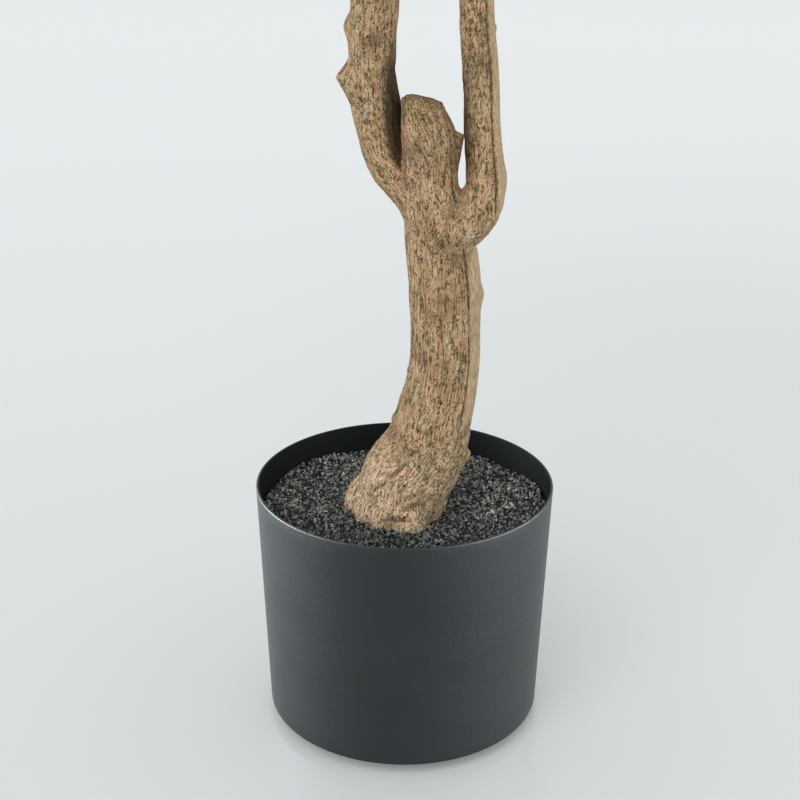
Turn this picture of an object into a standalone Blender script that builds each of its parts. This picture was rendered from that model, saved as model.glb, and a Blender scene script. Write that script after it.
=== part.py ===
"""Potted artificial eucalyptus: a pot with its fill, a forked trunk, boughs and leafy masses.

The origin is the middle of the pot's flat underside, +Z is up and the front is -Y.
Everything is worked out in metres from the named sizes below.
"""
import math
import random

import bmesh
import bpy
from mathutils import Matrix, Vector

MM = 0.001
GAP = 0.3 * MM                # running clearance between neighbouring solids
WELD = 0.001 * MM
FLAT_ANGLE = math.radians(0.02)   # faces that meet at less lie in one plane
UP = Vector((0, 0, 1))

# Pot: a tapered shell of one wall thickness, on a foot ring that is set in under its lower edge
POT_HEIGHT = 171 * MM
POT_TOP_RADIUS = 100 * MM
POT_LOW_RADIUS = 94 * MM      # outer radius at the lower edge
POT_WALL = 2.2 * MM
POT_FLOOR = 3 * MM
FOOT_HEIGHT = 5 * MM
FOOT_INSET = 5 * MM           # from the lower edge in to the foot
POT_STEPS = 48
RIM_STEPS = 3                 # stretches in the rounded lip

# Fill of the pot
SOIL_TOP = 155 * MM
SOIL_STEPS = 48

# Trunk: x, y, z and radius in millimetres, from under the soil to the tip of the sawn stub
TRUNK_ROUTE = (
    (-5, -9, 138, 36), (-3, -8, 155, 35), (0, -7, 166, 34.2), (4, -5, 178, 33.5),
    (10.5, -3, 192.7, 31.4), (15.4, -2, 207, 28.2), (18.5, -1, 221.7, 26.6),
    (22, 0, 236, 24.8), (25.2, 0, 257, 23.5), (25.2, 0, 278, 23), (24.9, 0, 298, 23.3),
    (24, 0, 311.6, 23.4), (22.6, 0, 326, 23), (20.6, 0, 342, 21.6), (17.2, -1, 358, 18.6),
    (15.2, -1.5, 373, 16.9), (14.6, -1.5, 395, 16.2), (13, -1.5, 411, 15.8),
    (9.5, -1.5, 421, 13.4), (6, -1.5, 429, 8),
)
TRUNK_SIDES = 16

# Root flare: direction round the foot in degrees, reach from the foot's middle in millimetres
ROOTS = ((172, 38), (215, 35.5), (268, 38), (320, 34), (27, 42), (95, 36))
ROOT_FOOT = (-2, -8)          # middle of the flare on the soil
ROOT_STATIONS = (             # share of the reach, lean towards the trunk, height over the soil
    (0.25, 1.0, 46), (0.6, 0.45, 21), (1.0, 0.0, -3), (1.06, 0.0, -16),
)
ROOT_LEAN = (9, 4)
ROOT_RADIUS = 13
ROOT_SIDES = 12

# Limbs from the fork up into the crown: x, y, z and radius in millimetres
LEFT_LIMB_ROUTE = (
    (12, 3, 348, 13), (5.5, 3, 362, 13.4), (-3.1, 3, 373, 13.5), (-13, 3, 390, 13.7),
    (-17, 3, 408, 14.8), (-19.4, 3, 421, 15), (-21.4, 3, 437, 15), (-21.3, 3, 450, 14.7),
    (-20.9, 3, 467.4, 15.2), (-19.5, 4, 485, 15.2), (-21, 8, 540, 14), (-36, 18, 610, 12.6),
    (-60, 34, 700, 10.8), (-78, 46, 800, 9.2), (-80, 46, 900, 7.6), (-68, 36, 1000, 6.2),
    (-50, 22, 1100, 4.8), (-38, 14, 1180, 3.6),
)
RIGHT_LIMB_ROUTE = (
    (24, -8, 336, 14), (36, -9, 343, 14.6), (45.5, -8, 355.5, 13.5), (49.2, -6, 373, 12.8),
    (48.3, -5, 384, 12.5), (47.3, -4, 395.5, 12), (45.7, -3, 414, 11.5), (44.8, -2, 432, 11.4),
    (43.5, -2, 450, 11.1), (41.6, -2, 467.7, 10.7), (40.5, -3, 485, 10.3),
    (39, -8, 540, 9.8), (50, -20, 610, 9.2), (72, -36, 700, 8.4), (84, -46, 800, 7.6),
    (80, -44, 900, 6.8), (64, -32, 1000, 6), (46, -18, 1100, 5), (34, -8, 1200, 3.6),
)
LIMB_SIDES = 12

# Small knobs of bark: root and tip places, root and tip radius in millimetres
LEFT_KNOB = ((-28, 2, 432), (-43.4, 1, 439.6), 10, 2.2)
FOOT_SPUR = ((31, -14, 179), (41.5, -15, 194), 8, 2.2)
KNOB_SIDES = 10

# Crown: an upright egg of foliage over the limbs
CROWN_MIDDLE = Vector((0, 0, 1052)) * MM
CROWN_REACH = Vector((390, 375, 460)) * MM
TIP_MASSES = (                # middles in millimetres of the masses that the limbs run into
    ("left", (-62, 34, 1310)),
    ("right", (54, -24, 1340)),
)
RINGS = (                     # count, height and radius in millimetres, turn in degrees
    (5, 800, 205, 20),
    (5, 1020, 235, 56),
    (3, 1215, 165, 95),
)
SPACE_MARGIN = 3.1 * MM       # of a leaf to the border of its mass's space

# Boughs from the limbs to the masses
BOUGH_LOWEST = 600 * MM       # height of the lowest fork on a limb
BOUGH_HIGHEST = 1080 * MM
BOUGH_REACH = 0.56            # share of the way to the middle of its mass that a bough covers
BOUGH_STEEPNESS = 0.9         # rise to its root per metre out
BOUGH_LIFT = 0.3              # height of a bough's arch as a share of its length
BOUGH_BEND = ((0.3, 0.35), (0.72, 0.28))   # its curve's inner corners: share of the way, of the lift
BOUGH_THICKNESS = 0.62        # of the limb's radius at the root
BOUGH_ROOT_LIMIT = 6.2 * MM
BOUGH_TIP_RADIUS = 3.0 * MM
BOUGH_SIDES = 6
BOUGH_STATIONS = 6

# Stem of a mass
SEED = 21
STEM_SIDES = 4
STEM_FOOT = 10 * MM           # straight stretch in line with the bough that bears the stem
STEM_STEP = 62 * MM           # from one place along a stem to the next
STEM_STEPS = 6
STEM_FIRST_TURN = 0.35        # share of its whole turn that a stem makes at once
STEM_SWAY = 0.1
STEM_PITCH = (12, 80)         # a stem's final slope in degrees, at the foot and top of the crown
STEM_TIP_RADIUS = 1.3 * MM
STEM_BARE = 0.5               # share of a stem, from its root, that bears no leaves

# Twigs
TWIGS_PER_STEM = 8
TWIGS_FROM = 0.08             # share of the stem at which its first twig stands
TWIGS_TO = 0.9
TWIG_LENGTH = 200 * MM        # at the stem's root
TWIG_TAPER = 0.45             # share of that length that a twig at the stem's tip lacks
TWIG_SHORTEST = 50 * MM
TWIG_TRIM = 0.85              # of its length is left to a twig that doesn't fit
TWIG_BARE = 34 * MM
TWIG_SPREAD = 58              # degrees between a twig and its stem
TWIG_RISE = 0.35              # how far a twig turns upwards along its length
TWIG_ROOT_RADIUS = 1.7 * MM
TWIG_TIP_RADIUS = 1.0 * MM
TWIG_CLEARANCE = 3 * MM
TWIG_STRAY = 8                # how far a twig strays from its spread, in degrees
TWIG_TURN = 0.3               # and round its stem, in radians
TWIG_SIZES = (0.9, 1.1)       # of the length that its place on the stem gives
TWIG_CHECKS = 7
GOLDEN_ANGLE = math.radians(137.508)

# Leaves
LEAF_LENGTH = 52 * MM
LEAF_WIDTH = 50 * MM
LEAF_THICKNESS = 1.6 * MM
LEAF_SIDES = 5
LEAF_SUNK = 0.5 * MM          # how far a leaf's root lies behind its twig's axis
LEAF_STEP = 30 * MM           # from one pair of leaves to the next
LEAF_SPREAD = 56              # degrees between a leaf and its twig
TIP_LEAF_SPREAD = 12
TIP_LEAF_BACK = 4 * MM        # from a twig's tip back to the root of its last leaf
LEAF_DISC = 0.43 * LEAF_LENGTH    # radius of the disc that stands for a leaf in tests
LEAF_CLEARANCE = 8 * MM       # of a leaf's test points to a limb
LEAF_APART = 3 * MM           # between two parallel leaves
LEAF_TRIES = 5
LEAF_CHECKS = 8               # test points round a leaf's edge, and as many within it
LEAF_INNER = 0.55             # radius of the inner ring of points as a share of the leaf's
LEAF_SIZES = (0.92, 1.04)     # of the size above, before a try that failed takes some off
LEAF_SHRINK = 0.04
LEAF_TILT = 6                 # how far a leaf strays from its spread, in degrees, per try
LEAF_TURN = 0.15              # how far it strays round its twig, in radians, per try
LEAVES_PER_MASS = 33
LEAVES_PER_TIP_MASS = 40

# Finishes: linear base colour, roughness, metallic
POT_FINISH = ((0.052, 0.062, 0.067), 0.55, 0.0)
SOIL_FINISH = ((0.022, 0.022, 0.020), 0.9, 0.0)
BARK_FINISH = ((0.32, 0.225, 0.13), 0.8, 0.0)
LEAF_FINISH = ((0.19, 0.27, 0.2), 0.6, 0.0)
SHARP_ANGLE = math.radians(40)


# ---------------------------------------------------------------- objects and meshes

def clear_scene():
    """Remove everything that the file holds."""
    for item in list(bpy.data.objects):
        bpy.data.objects.remove(item, do_unlink=True)
    for item in list(bpy.data.collections):
        bpy.data.collections.remove(item)


def new_collection(name):
    """Return a new collection under the scene."""
    group = bpy.data.collections.new(name)
    bpy.context.scene.collection.children.link(group)
    return group


def remove_collection(group):
    """Remove the collection and the objects in it."""
    for item in list(group.objects):
        remove_object(item)
    bpy.data.collections.remove(group)


def new_object(name, data, group):
    """Return a new object that holds the mesh or curve."""
    item = bpy.data.objects.new(name, data)
    group.objects.link(item)
    return item


def remove_object(item):
    """Remove the object."""
    bpy.data.objects.remove(item, do_unlink=True)


def finish_object(item, finish):
    """Give the object its own Principled material and smooth its round faces."""
    colour, roughness, metallic = finish
    material = bpy.data.materials.new(item.name + "_finish")
    material.use_nodes = True
    shader = material.node_tree.nodes["Principled BSDF"]
    shader.inputs["Base Color"].default_value = (*colour, 1.0)
    shader.inputs["Roughness"].default_value = roughness
    shader.inputs["Metallic"].default_value = metallic
    item.data.materials.clear()
    item.data.materials.append(material)
    item.data.shade_smooth()
    item.data.set_sharp_from_angle(angle=SHARP_ANGLE)


def evaluated_mesh(item):
    """Return a new mesh of the object with its modifiers applied."""
    bpy.context.view_layer.update()
    graph = bpy.context.evaluated_depsgraph_get()
    return bpy.data.meshes.new_from_object(item.evaluated_get(graph))


def weld(mesh):
    """Weld the mesh's loose caps and turn all its faces outwards."""
    work = bmesh.new()
    work.from_mesh(mesh)
    bmesh.ops.remove_doubles(work, verts=work.verts, dist=WELD)
    bmesh.ops.recalc_face_normals(work, faces=work.faces)
    work.to_mesh(mesh)
    work.free()


def apply_boolean(item, operation, operand, solver="EXACT"):
    """Cut the object by, or join it with, another object or all objects of a collection."""
    modifier = item.modifiers.new("join", "BOOLEAN")
    modifier.operation = operation
    modifier.solver = solver
    if isinstance(operand, bpy.types.Collection):
        modifier.operand_type = "COLLECTION"
        modifier.collection = operand
    else:
        modifier.object = operand
    mesh = evaluated_mesh(item)
    item.modifiers.remove(modifier)
    item.data = mesh


def bodies_of(work):
    """Return the closed bodies of a mesh, each a set of faces, the largest last."""
    left = set(work.faces)
    bodies = []
    while left:
        seed = left.pop()
        body = {seed}
        border = [seed]
        while border:
            for edge in border.pop().edges:
                for other in edge.link_faces:
                    if other in left:
                        left.remove(other)
                        body.add(other)
                        border.append(other)
        bodies.append(body)
    return sorted(bodies, key=len)


def keep_main_body(mesh):
    """Keep the mesh's largest closed body and merge its coplanar faces.

    Scraps fall away and sealed hollows are filled. The faces end as triangles, by the first
    way that leaves every edge with two of them.
    """
    whole = bmesh.new()
    whole.from_mesh(mesh)
    for body in bodies_of(whole)[:-1]:
        bmesh.ops.delete(whole, geom=list(body), context="FACES")
    for merged, method in ((True, "BEAUTY"), (True, "EAR_CLIP"), (False, "BEAUTY"),
                           (False, "EAR_CLIP")):
        work = whole.copy()
        if merged:
            bmesh.ops.dissolve_limit(work, angle_limit=FLAT_ANGLE, verts=work.verts,
                                     edges=work.edges)
        bmesh.ops.triangulate(work, faces=work.faces, ngon_method=method)
        closed = all(len(edge.link_faces) == 2 for edge in work.edges)
        if closed:
            work.to_mesh(mesh)
        work.free()
        if closed:
            break
    else:
        raise ValueError("the joined mesh isn't closed")
    whole.free()


# ---------------------------------------------------------------- tubes and turned shapes

def route_points(route):
    """Turn a route in millimetres into places and radii in metres."""
    return [(Vector((x, y, z)) * MM, radius * MM) for x, y, z, radius in route]


def bezier_points(corners, count):
    """Return places along the cubic Bezier curve of four corners."""
    start, first, second, end = corners
    places = []
    for step in range(count):
        share = step / (count - 1)
        rest = 1 - share
        places.append(start * rest ** 3 + first * 3 * rest ** 2 * share
                      + second * 3 * rest * share ** 2 + end * share ** 3)
    return places


def tube(name, stations, group, sides=None, section=None, grow=0.0):
    """Return a closed tube along the stations: a bevelled curve made a mesh.

    Its section is round with this many sides, or the flat closed curve of another object.
    """
    curve = bpy.data.curves.new(name + "_curve", "CURVE")
    curve.dimensions = "3D"
    if section is None:
        curve.bevel_depth = 1.0
        curve.bevel_resolution = sides // 2 - 2
    else:
        curve.bevel_mode = "OBJECT"
        curve.bevel_object = section
    curve.use_fill_caps = True
    spline = curve.splines.new("POLY")
    spline.points.add(len(stations) - 1)
    for point, (place, radius) in zip(spline.points, stations):
        point.co = (*place, 1.0)
        point.radius = radius + grow
    guide = new_object(name + "_guide", curve, group)
    mesh = evaluated_mesh(guide)
    weld(mesh)
    item = new_object(name, mesh, group)
    item.matrix_world = guide.matrix_world
    remove_object(guide)
    return item


def triangle_section(group):
    """Return a flat closed curve with three equal sides, one metre from middle to corner."""
    curve = bpy.data.curves.new("twig_section", "CURVE")
    curve.dimensions = "2D"
    curve.fill_mode = "NONE"
    spline = curve.splines.new("POLY")
    spline.points.add(2)
    for index, point in enumerate(spline.points):
        angle = math.tau * index / 3
        point.co = (math.cos(angle), math.sin(angle), 0.0, 1.0)
    spline.use_cyclic_u = True
    return new_object("twig_section", curve, group)


def knob(name, sizes, group):
    """Return one small tapered knob of bark."""
    root, tip, root_radius, tip_radius = sizes
    start = Vector(root) * MM
    end = Vector(tip) * MM
    along = end - start
    work = bmesh.new()
    bmesh.ops.create_cone(work, cap_ends=True, segments=KNOB_SIDES, radius1=root_radius * MM,
                          radius2=tip_radius * MM, depth=along.length)
    turn = along.to_track_quat("Z", "Y").to_matrix().to_4x4()
    middle = Matrix.Translation((start + end) / 2)
    bmesh.ops.transform(work, matrix=middle @ turn, verts=work.verts)
    mesh = bpy.data.meshes.new(name)
    work.to_mesh(mesh)
    work.free()
    return new_object(name, mesh, group)


def turned(name, profile, steps, group):
    """Return the solid that a profile makes as it turns about the Z axis."""
    mesh = bpy.data.meshes.new(name)
    edges = [(index, index + 1) for index in range(len(profile) - 1)]
    mesh.from_pydata([(radius, 0.0, height) for radius, height in profile], edges, [])
    item = new_object(name, mesh, group)
    screw = item.modifiers.new("turn", "SCREW")
    screw.steps = steps
    screw.render_steps = steps
    screw.use_merge_vertices = True
    screw.merge_threshold = WELD
    item.data = evaluated_mesh(item)
    item.modifiers.clear()
    return item


# ---------------------------------------------------------------- pot

def outer_radius(height):
    """Outer radius of the pot's wall at a height."""
    share = (height - FOOT_HEIGHT) / (POT_HEIGHT - FOOT_HEIGHT)
    return POT_LOW_RADIUS + (POT_TOP_RADIUS - POT_LOW_RADIUS) * share


def make_pot(group):
    """Turn the pot's shell: floor, inner wall, rounded lip, outer wall and foot."""
    lip = POT_WALL / 2
    lip_height = POT_HEIGHT - lip
    floor_top = FOOT_HEIGHT + POT_FLOOR
    profile = [(0.0, floor_top), (outer_radius(floor_top) - POT_WALL, floor_top)]
    for step in range(RIM_STEPS + 1):
        angle = math.pi * (1 - step / RIM_STEPS)
        radius = outer_radius(lip_height) - lip + lip * math.cos(angle)
        profile.append((radius, lip_height + lip * math.sin(angle)))
    profile.append((POT_LOW_RADIUS, FOOT_HEIGHT))
    profile.append((POT_LOW_RADIUS - FOOT_INSET, FOOT_HEIGHT))
    profile.append((POT_LOW_RADIUS - FOOT_INSET, 0.0))
    profile.append((0.0, 0.0))
    pot = turned("pot", profile, POT_STEPS, group)
    finish_object(pot, POT_FINISH)


def make_soil(group):
    """Turn the fill of the pot, clear of its floor and wall."""
    low = FOOT_HEIGHT + POT_FLOOR + GAP
    inset = POT_WALL + 2 * GAP
    profile = [(0.0, SOIL_TOP), (outer_radius(SOIL_TOP) - inset, SOIL_TOP),
               (outer_radius(low) - inset, low), (0.0, low)]
    soil = turned("soil", profile, SOIL_STEPS, group)
    finish_object(soil, SOIL_FINISH)


# ---------------------------------------------------------------- trunk and limbs

def root_stations(degrees, reach):
    """Return the stations of one root, from inside the trunk down and out to the soil."""
    angle = math.radians(degrees)
    outward = Vector((math.cos(angle), math.sin(angle), 0)) * (reach - ROOT_RADIUS)
    stations = []
    for share, lean, height in ROOT_STATIONS:
        place = Vector((*ROOT_FOOT, height)) + outward * share + Vector((*ROOT_LEAN, 0)) * lean
        stations.append((place * MM + UP * SOIL_TOP, ROOT_RADIUS * MM))
    return stations


def trunk_and_roots(group, grow=0.0):
    """Return the trunk's tube joined with the roots that flare from its foot."""
    trunk = tube("trunk", route_points(TRUNK_ROUTE), group, sides=TRUNK_SIDES, grow=grow)
    parts = new_collection("root_parts")
    for index, (degrees, reach) in enumerate(ROOTS):
        tube(f"root_{index}", root_stations(degrees, reach), parts, sides=ROOT_SIDES)
    knob("spur", FOOT_SPUR, parts)
    apply_boolean(trunk, "UNION", parts)
    remove_collection(parts)
    return trunk


def make_trunk(group, cutters):
    """Make the trunk and cut its foot flat, just clear of the soil."""
    trunk = trunk_and_roots(group)
    side = 4 * POT_TOP_RADIUS
    work = bmesh.new()
    bmesh.ops.create_cube(work, size=side)
    mesh = bpy.data.meshes.new("soil_cutter")
    work.to_mesh(mesh)
    work.free()
    cutter = new_object("soil_cutter", mesh, cutters)
    cutter.location = (0.0, 0.0, SOIL_TOP + GAP - side / 2)
    apply_boolean(trunk, "DIFFERENCE", cutter)
    remove_object(cutter)
    keep_main_body(trunk.data)
    finish_object(trunk, BARK_FINISH)


def make_limb(name, stations, knobs, group, cutters):
    """Make one limb with its knobs, cut clear of the trunk that it grows from."""
    limb = tube(name, stations, group, sides=LIMB_SIDES)
    for sizes in knobs:
        lump = knob("limb_knob", sizes, cutters)
        apply_boolean(limb, "UNION", lump)
        remove_object(lump)
    cutter = trunk_and_roots(cutters, grow=GAP)
    apply_boolean(limb, "DIFFERENCE", cutter)
    remove_object(cutter)
    keep_main_body(limb.data)
    finish_object(limb, BARK_FINISH)


# ---------------------------------------------------------------- layout of the crown

def station_at_height(stations, height):
    """Return the place and radius of a limb at a height."""
    for (low, low_radius), (high, high_radius) in zip(stations, stations[1:]):
        if low.z <= height <= high.z:
            share = (height - low.z) / (high.z - low.z)
            return low.lerp(high, share), low_radius + (high_radius - low_radius) * share
    raise ValueError("the limb doesn't reach this height")


def ring_middles():
    """Return the middles of the masses that boughs carry, ring by ring."""
    middles = []
    for count, height, radius, turn in RINGS:
        for index in range(count):
            angle = math.radians(turn + 360 * index / count)
            place = Vector((radius * math.cos(angle), radius * math.sin(angle), height))
            middles.append(place * MM)
    return middles


def bough_stations(limb, middle):
    """Return a bough's stations: it leaves its limb steeply and bends out to its mass."""
    beside, _ = station_at_height(limb, min(middle.z, BOUGH_HIGHEST))
    out = math.hypot(middle.x - beside.x, middle.y - beside.y)
    fork = min(max(middle.z - BOUGH_STEEPNESS * out, BOUGH_LOWEST), BOUGH_HIGHEST)
    start, limb_radius = station_at_height(limb, fork)
    along = (middle - start) * BOUGH_REACH
    lift = UP * BOUGH_LIFT * along.length
    inner = [start + along * share + lift * raised for share, raised in BOUGH_BEND]
    corners = (start, *inner, start + along)
    root_radius = min(BOUGH_THICKNESS * limb_radius, BOUGH_ROOT_LIMIT)
    taper = (BOUGH_TIP_RADIUS - root_radius) / (BOUGH_STATIONS - 1)
    places = bezier_points(corners, BOUGH_STATIONS)
    return [(place, root_radius + taper * index) for index, place in enumerate(places)]


def make_bough(name, stations, limb, group, cutters):
    """Make one bough, cut clear of the limb that it grows from."""
    bough = tube(name, stations, group, sides=BOUGH_SIDES)
    cutter = tube("limb_cutter", limb, cutters, sides=LIMB_SIDES, grow=GAP)
    apply_boolean(bough, "DIFFERENCE", cutter)
    remove_object(cutter)
    keep_main_body(bough.data)
    finish_object(bough, BARK_FINISH)


class Space:
    """The space that a mass keeps to: what is nearer to its middle, inside the crown.

    It also remembers the twigs and leaves that already stand in it.
    """

    def __init__(self, index, middles, woods):
        self.middle = middles[index]
        self.others = middles[:index] + middles[index + 1:]
        self.woods = woods
        self.twigs = []
        self.leaves = []

    def holds(self, place, margin):
        """Tell if a ball of the margin's radius at the place lies inside the space."""
        offset = place - CROWN_MIDDLE
        reach = [length - margin for length in CROWN_REACH]
        if sum((offset[axis] / reach[axis]) ** 2 for axis in range(3)) > 1:
            return False
        for other in self.others:
            halfway = (other + self.middle) / 2
            if (halfway - place).dot((other - self.middle).normalized()) < margin:
                return False
        return True

    def clear_of_woods(self, place, margin):
        """Tell if the place lies further than the margin from every limb and bough."""
        for stations in self.woods:
            for (start, radius), (end, _) in zip(stations, stations[1:]):
                along = end - start
                share = (place - start).dot(along) / along.length_squared
                nearest = start + along * min(max(share, 0.0), 1.0)
                if (place - nearest).length < radius + margin:
                    return False
        return True

    def clear_of_twigs(self, middle, normal, root):
        """Tell if no twig but the leaf's own pierces the disc of a leaf."""
        for start, end in self.twigs:
            low = (start - middle).dot(normal)
            high = (end - middle).dot(normal)
            if low * high > 0 and min(abs(low), abs(high)) > LEAF_APART:
                continue
            level = abs(high - low) < WELD
            share = 0.5 if level else min(max(low / (low - high), 0), 1)
            crossing = start.lerp(end, share)
            own = (crossing - root).length < 3 * TWIG_ROOT_RADIUS
            if (crossing - middle).length < LEAF_DISC + TWIG_ROOT_RADIUS and not own:
                return False
        return True

    def clear_of_leaves(self, middle, normal):
        """Tell if the disc of a leaf cuts through none that is there already."""
        for other, other_normal in self.leaves:
            between = other - middle
            if between.length > 2 * LEAF_DISC:
                continue
            line = normal.cross(other_normal)
            if line.length < WELD:
                if abs(between.dot(normal)) < LEAF_APART:
                    return False
                continue
            line.normalize()
            near = between.dot(other_normal) / normal.cross(line).dot(other_normal)
            far = between.dot(normal) / other_normal.cross(line).dot(normal)
            if abs(near) >= LEAF_DISC or abs(far) >= LEAF_DISC:
                continue
            chords = math.sqrt(LEAF_DISC ** 2 - near ** 2) + math.sqrt(LEAF_DISC ** 2 - far ** 2)
            if abs(between.dot(line)) < chords:
                return False
        return True


# ---------------------------------------------------------------- leaves

def leaf_mesh():
    """Return a leaf: a flat low pyramid with its root at the origin and its tip along +X."""
    work = bmesh.new()
    bmesh.ops.create_cone(work, cap_ends=True, segments=LEAF_SIDES, radius1=0.5, radius2=0.0,
                          depth=LEAF_THICKNESS)
    turn = Matrix.Rotation(math.radians(90), 4, "Z")
    size = Matrix.Diagonal((LEAF_LENGTH, LEAF_WIDTH, 1.0, 1.0))
    move = Matrix.Translation((LEAF_LENGTH / 2, 0, 0))
    bmesh.ops.transform(work, matrix=move @ size @ turn, verts=work.verts)
    mesh = bpy.data.meshes.new("leaf")
    work.to_mesh(mesh)
    work.free()
    return mesh


def side_of(way, angle):
    """Return the unit direction square to a way, turned round it by an angle."""
    level = way.cross(UP)
    if level.length < 0.05:
        level = way.cross(Vector((1, 0, 0)))
    level.normalize()
    other = way.cross(level).normalized()
    return level * math.cos(angle) + other * math.sin(angle)


def leaf_matrix(root, way, side, spread, size):
    """Return the matrix that sets a leaf on its twig, its face turned to the twig's tip."""
    outward = (way * math.cos(spread) + side * math.sin(spread)).normalized()
    across = way.cross(side).normalized()
    normal = outward.cross(across).normalized()
    turn = Matrix((outward, across, normal)).transposed().to_4x4()
    return Matrix.Translation(root - outward * LEAF_SUNK) @ turn @ Matrix.Scale(size, 4)


def leaf_fits(matrix, space):
    """Tell if the leaf stays in its mass's space and clear of limbs, twigs and leaves."""
    for turn in range(LEAF_CHECKS):
        angle = math.tau * turn / LEAF_CHECKS
        for share in (LEAF_INNER, 1.0):
            local = Vector((LEAF_LENGTH / 2 * (1 + share * math.cos(angle)),
                            LEAF_WIDTH / 2 * share * math.sin(angle), 0))
            place = matrix @ local
            if not space.holds(place, SPACE_MARGIN):
                return False
            if not space.clear_of_woods(place, LEAF_CLEARANCE):
                return False
    middle = matrix @ Vector((LEAF_LENGTH / 2, 0, 0))
    normal = (matrix.to_3x3() @ UP).normalized()
    if not space.clear_of_twigs(middle, normal, matrix.translation):
        return False
    if not space.clear_of_leaves(middle, normal):
        return False
    space.leaves.append((middle, normal))
    return True


def try_leaf(root, way, turn, spread, space, draw):
    """Return the matrix of a leaf that fits at the root, or None after a few tries."""
    for attempt in range(LEAF_TRIES):
        loose = 1 + attempt
        side = side_of(way, turn + draw.uniform(-LEAF_TURN, LEAF_TURN) * loose)
        size = draw.uniform(*LEAF_SIZES) - LEAF_SHRINK * attempt
        tilt = math.radians(spread + draw.uniform(-LEAF_TILT, LEAF_TILT) * loose)
        matrix = leaf_matrix(root, way, side, tilt, size)
        if leaf_fits(matrix, space):
            return matrix
    return None


def leaf_roots(path, first, draw):
    """Return the leaves' roots from a twig's tip back: rank, distance, turn and spread."""
    length = path_length(path)
    roots = [(0, length - TIP_LEAF_BACK, draw.uniform(0, math.tau), TIP_LEAF_SPREAD)]
    distance = length - LEAF_STEP
    rank = 1
    while distance > first:
        for side in (0, math.pi):
            roots.append((rank, distance, math.pi / 2 * rank + side, LEAF_SPREAD))
        distance -= LEAF_STEP
        rank += 1
    return roots


def add_leaves(bearing, limit, parts, mesh, space, draw):
    """Set leaves along the twigs, the tips of all twigs first, then pair after pair."""
    wanted = []
    for path, first in bearing:
        for rank, distance, turn, spread in leaf_roots(path, first, draw):
            wanted.append((rank, path, distance, turn, spread))
    wanted.sort(key=lambda leaf: leaf[0])
    placed = 0
    for _, path, distance, turn, spread in wanted:
        if placed == limit:
            break
        root, way = path_place(path, distance)
        matrix = try_leaf(root, way, turn, spread, space, draw)
        if matrix is not None:
            leaf = new_object("leaf", mesh, parts)
            leaf.matrix_world = matrix
            placed += 1


# ---------------------------------------------------------------- twigs and masses

def path_place(path, distance):
    """Return the place and the direction at a distance along a path of places."""
    for start, end in zip(path, path[1:]):
        length = (end - start).length
        if distance <= length:
            return start + (end - start) * distance / length, (end - start).normalized()
        distance -= length
    return path[-1], (path[-1] - path[-2]).normalized()


def path_length(path):
    """Return the length of a path of places."""
    return sum((end - start).length for start, end in zip(path, path[1:]))


def tapered(path, root_radius, tip_radius):
    """Return the places of a path with a radius at each, even in its taper."""
    taper = (tip_radius - root_radius) / (len(path) - 1)
    return [(place, root_radius + taper * index) for index, place in enumerate(path)]


def fitting_twig(root, way, length, space):
    """Return the longest twig of this direction that stays in the space, or None.

    A twig is three places long, and its outer half turns upwards.
    """
    lifted = (way + UP * TWIG_RISE).normalized()
    while length >= TWIG_SHORTEST:
        elbow = root + way * length / 2
        path = [root, elbow, elbow + lifted * length / 2]
        start = min(length / 4, TWIG_BARE)
        step = (length - start) / (TWIG_CHECKS - 1)
        checks = [path_place(path, start + step * index)[0] for index in range(TWIG_CHECKS)]
        if all(space.holds(place, TWIG_CLEARANCE) and space.clear_of_woods(place, TWIG_CLEARANCE)
               for place in checks):
            return path
        length *= TWIG_TRIM
    return None


def stem_path(start, way, space, draw):
    """Return the places along a mass's stem, from its bough's tip to the edge of its space."""
    share = (space.middle.z - CROWN_MIDDLE.z + CROWN_REACH.z) / (2 * CROWN_REACH.z)
    pitch = math.radians(STEM_PITCH[0] + (STEM_PITCH[1] - STEM_PITCH[0]) * share)
    outward = Vector((space.middle.x, space.middle.y, 0)).normalized()
    goal = outward * math.cos(pitch) + UP * math.sin(pitch)
    path = [start, start + way * STEM_FOOT]
    for station in range(1, STEM_STEPS + 1):
        turned = STEM_FIRST_TURN + (1 - STEM_FIRST_TURN) * station / STEM_STEPS
        sway = Vector((draw.uniform(-1, 1), draw.uniform(-1, 1), draw.uniform(-1, 1)))
        heading = (way * (1 - turned) + goal * turned + sway * STEM_SWAY).normalized()
        following = path[-1] + heading * STEM_STEP
        if not space.holds(following, TWIG_CLEARANCE):
            break
        if station > 1 and not space.clear_of_woods(following, TWIG_CLEARANCE):
            break
        path.append(following)
    return path


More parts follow.
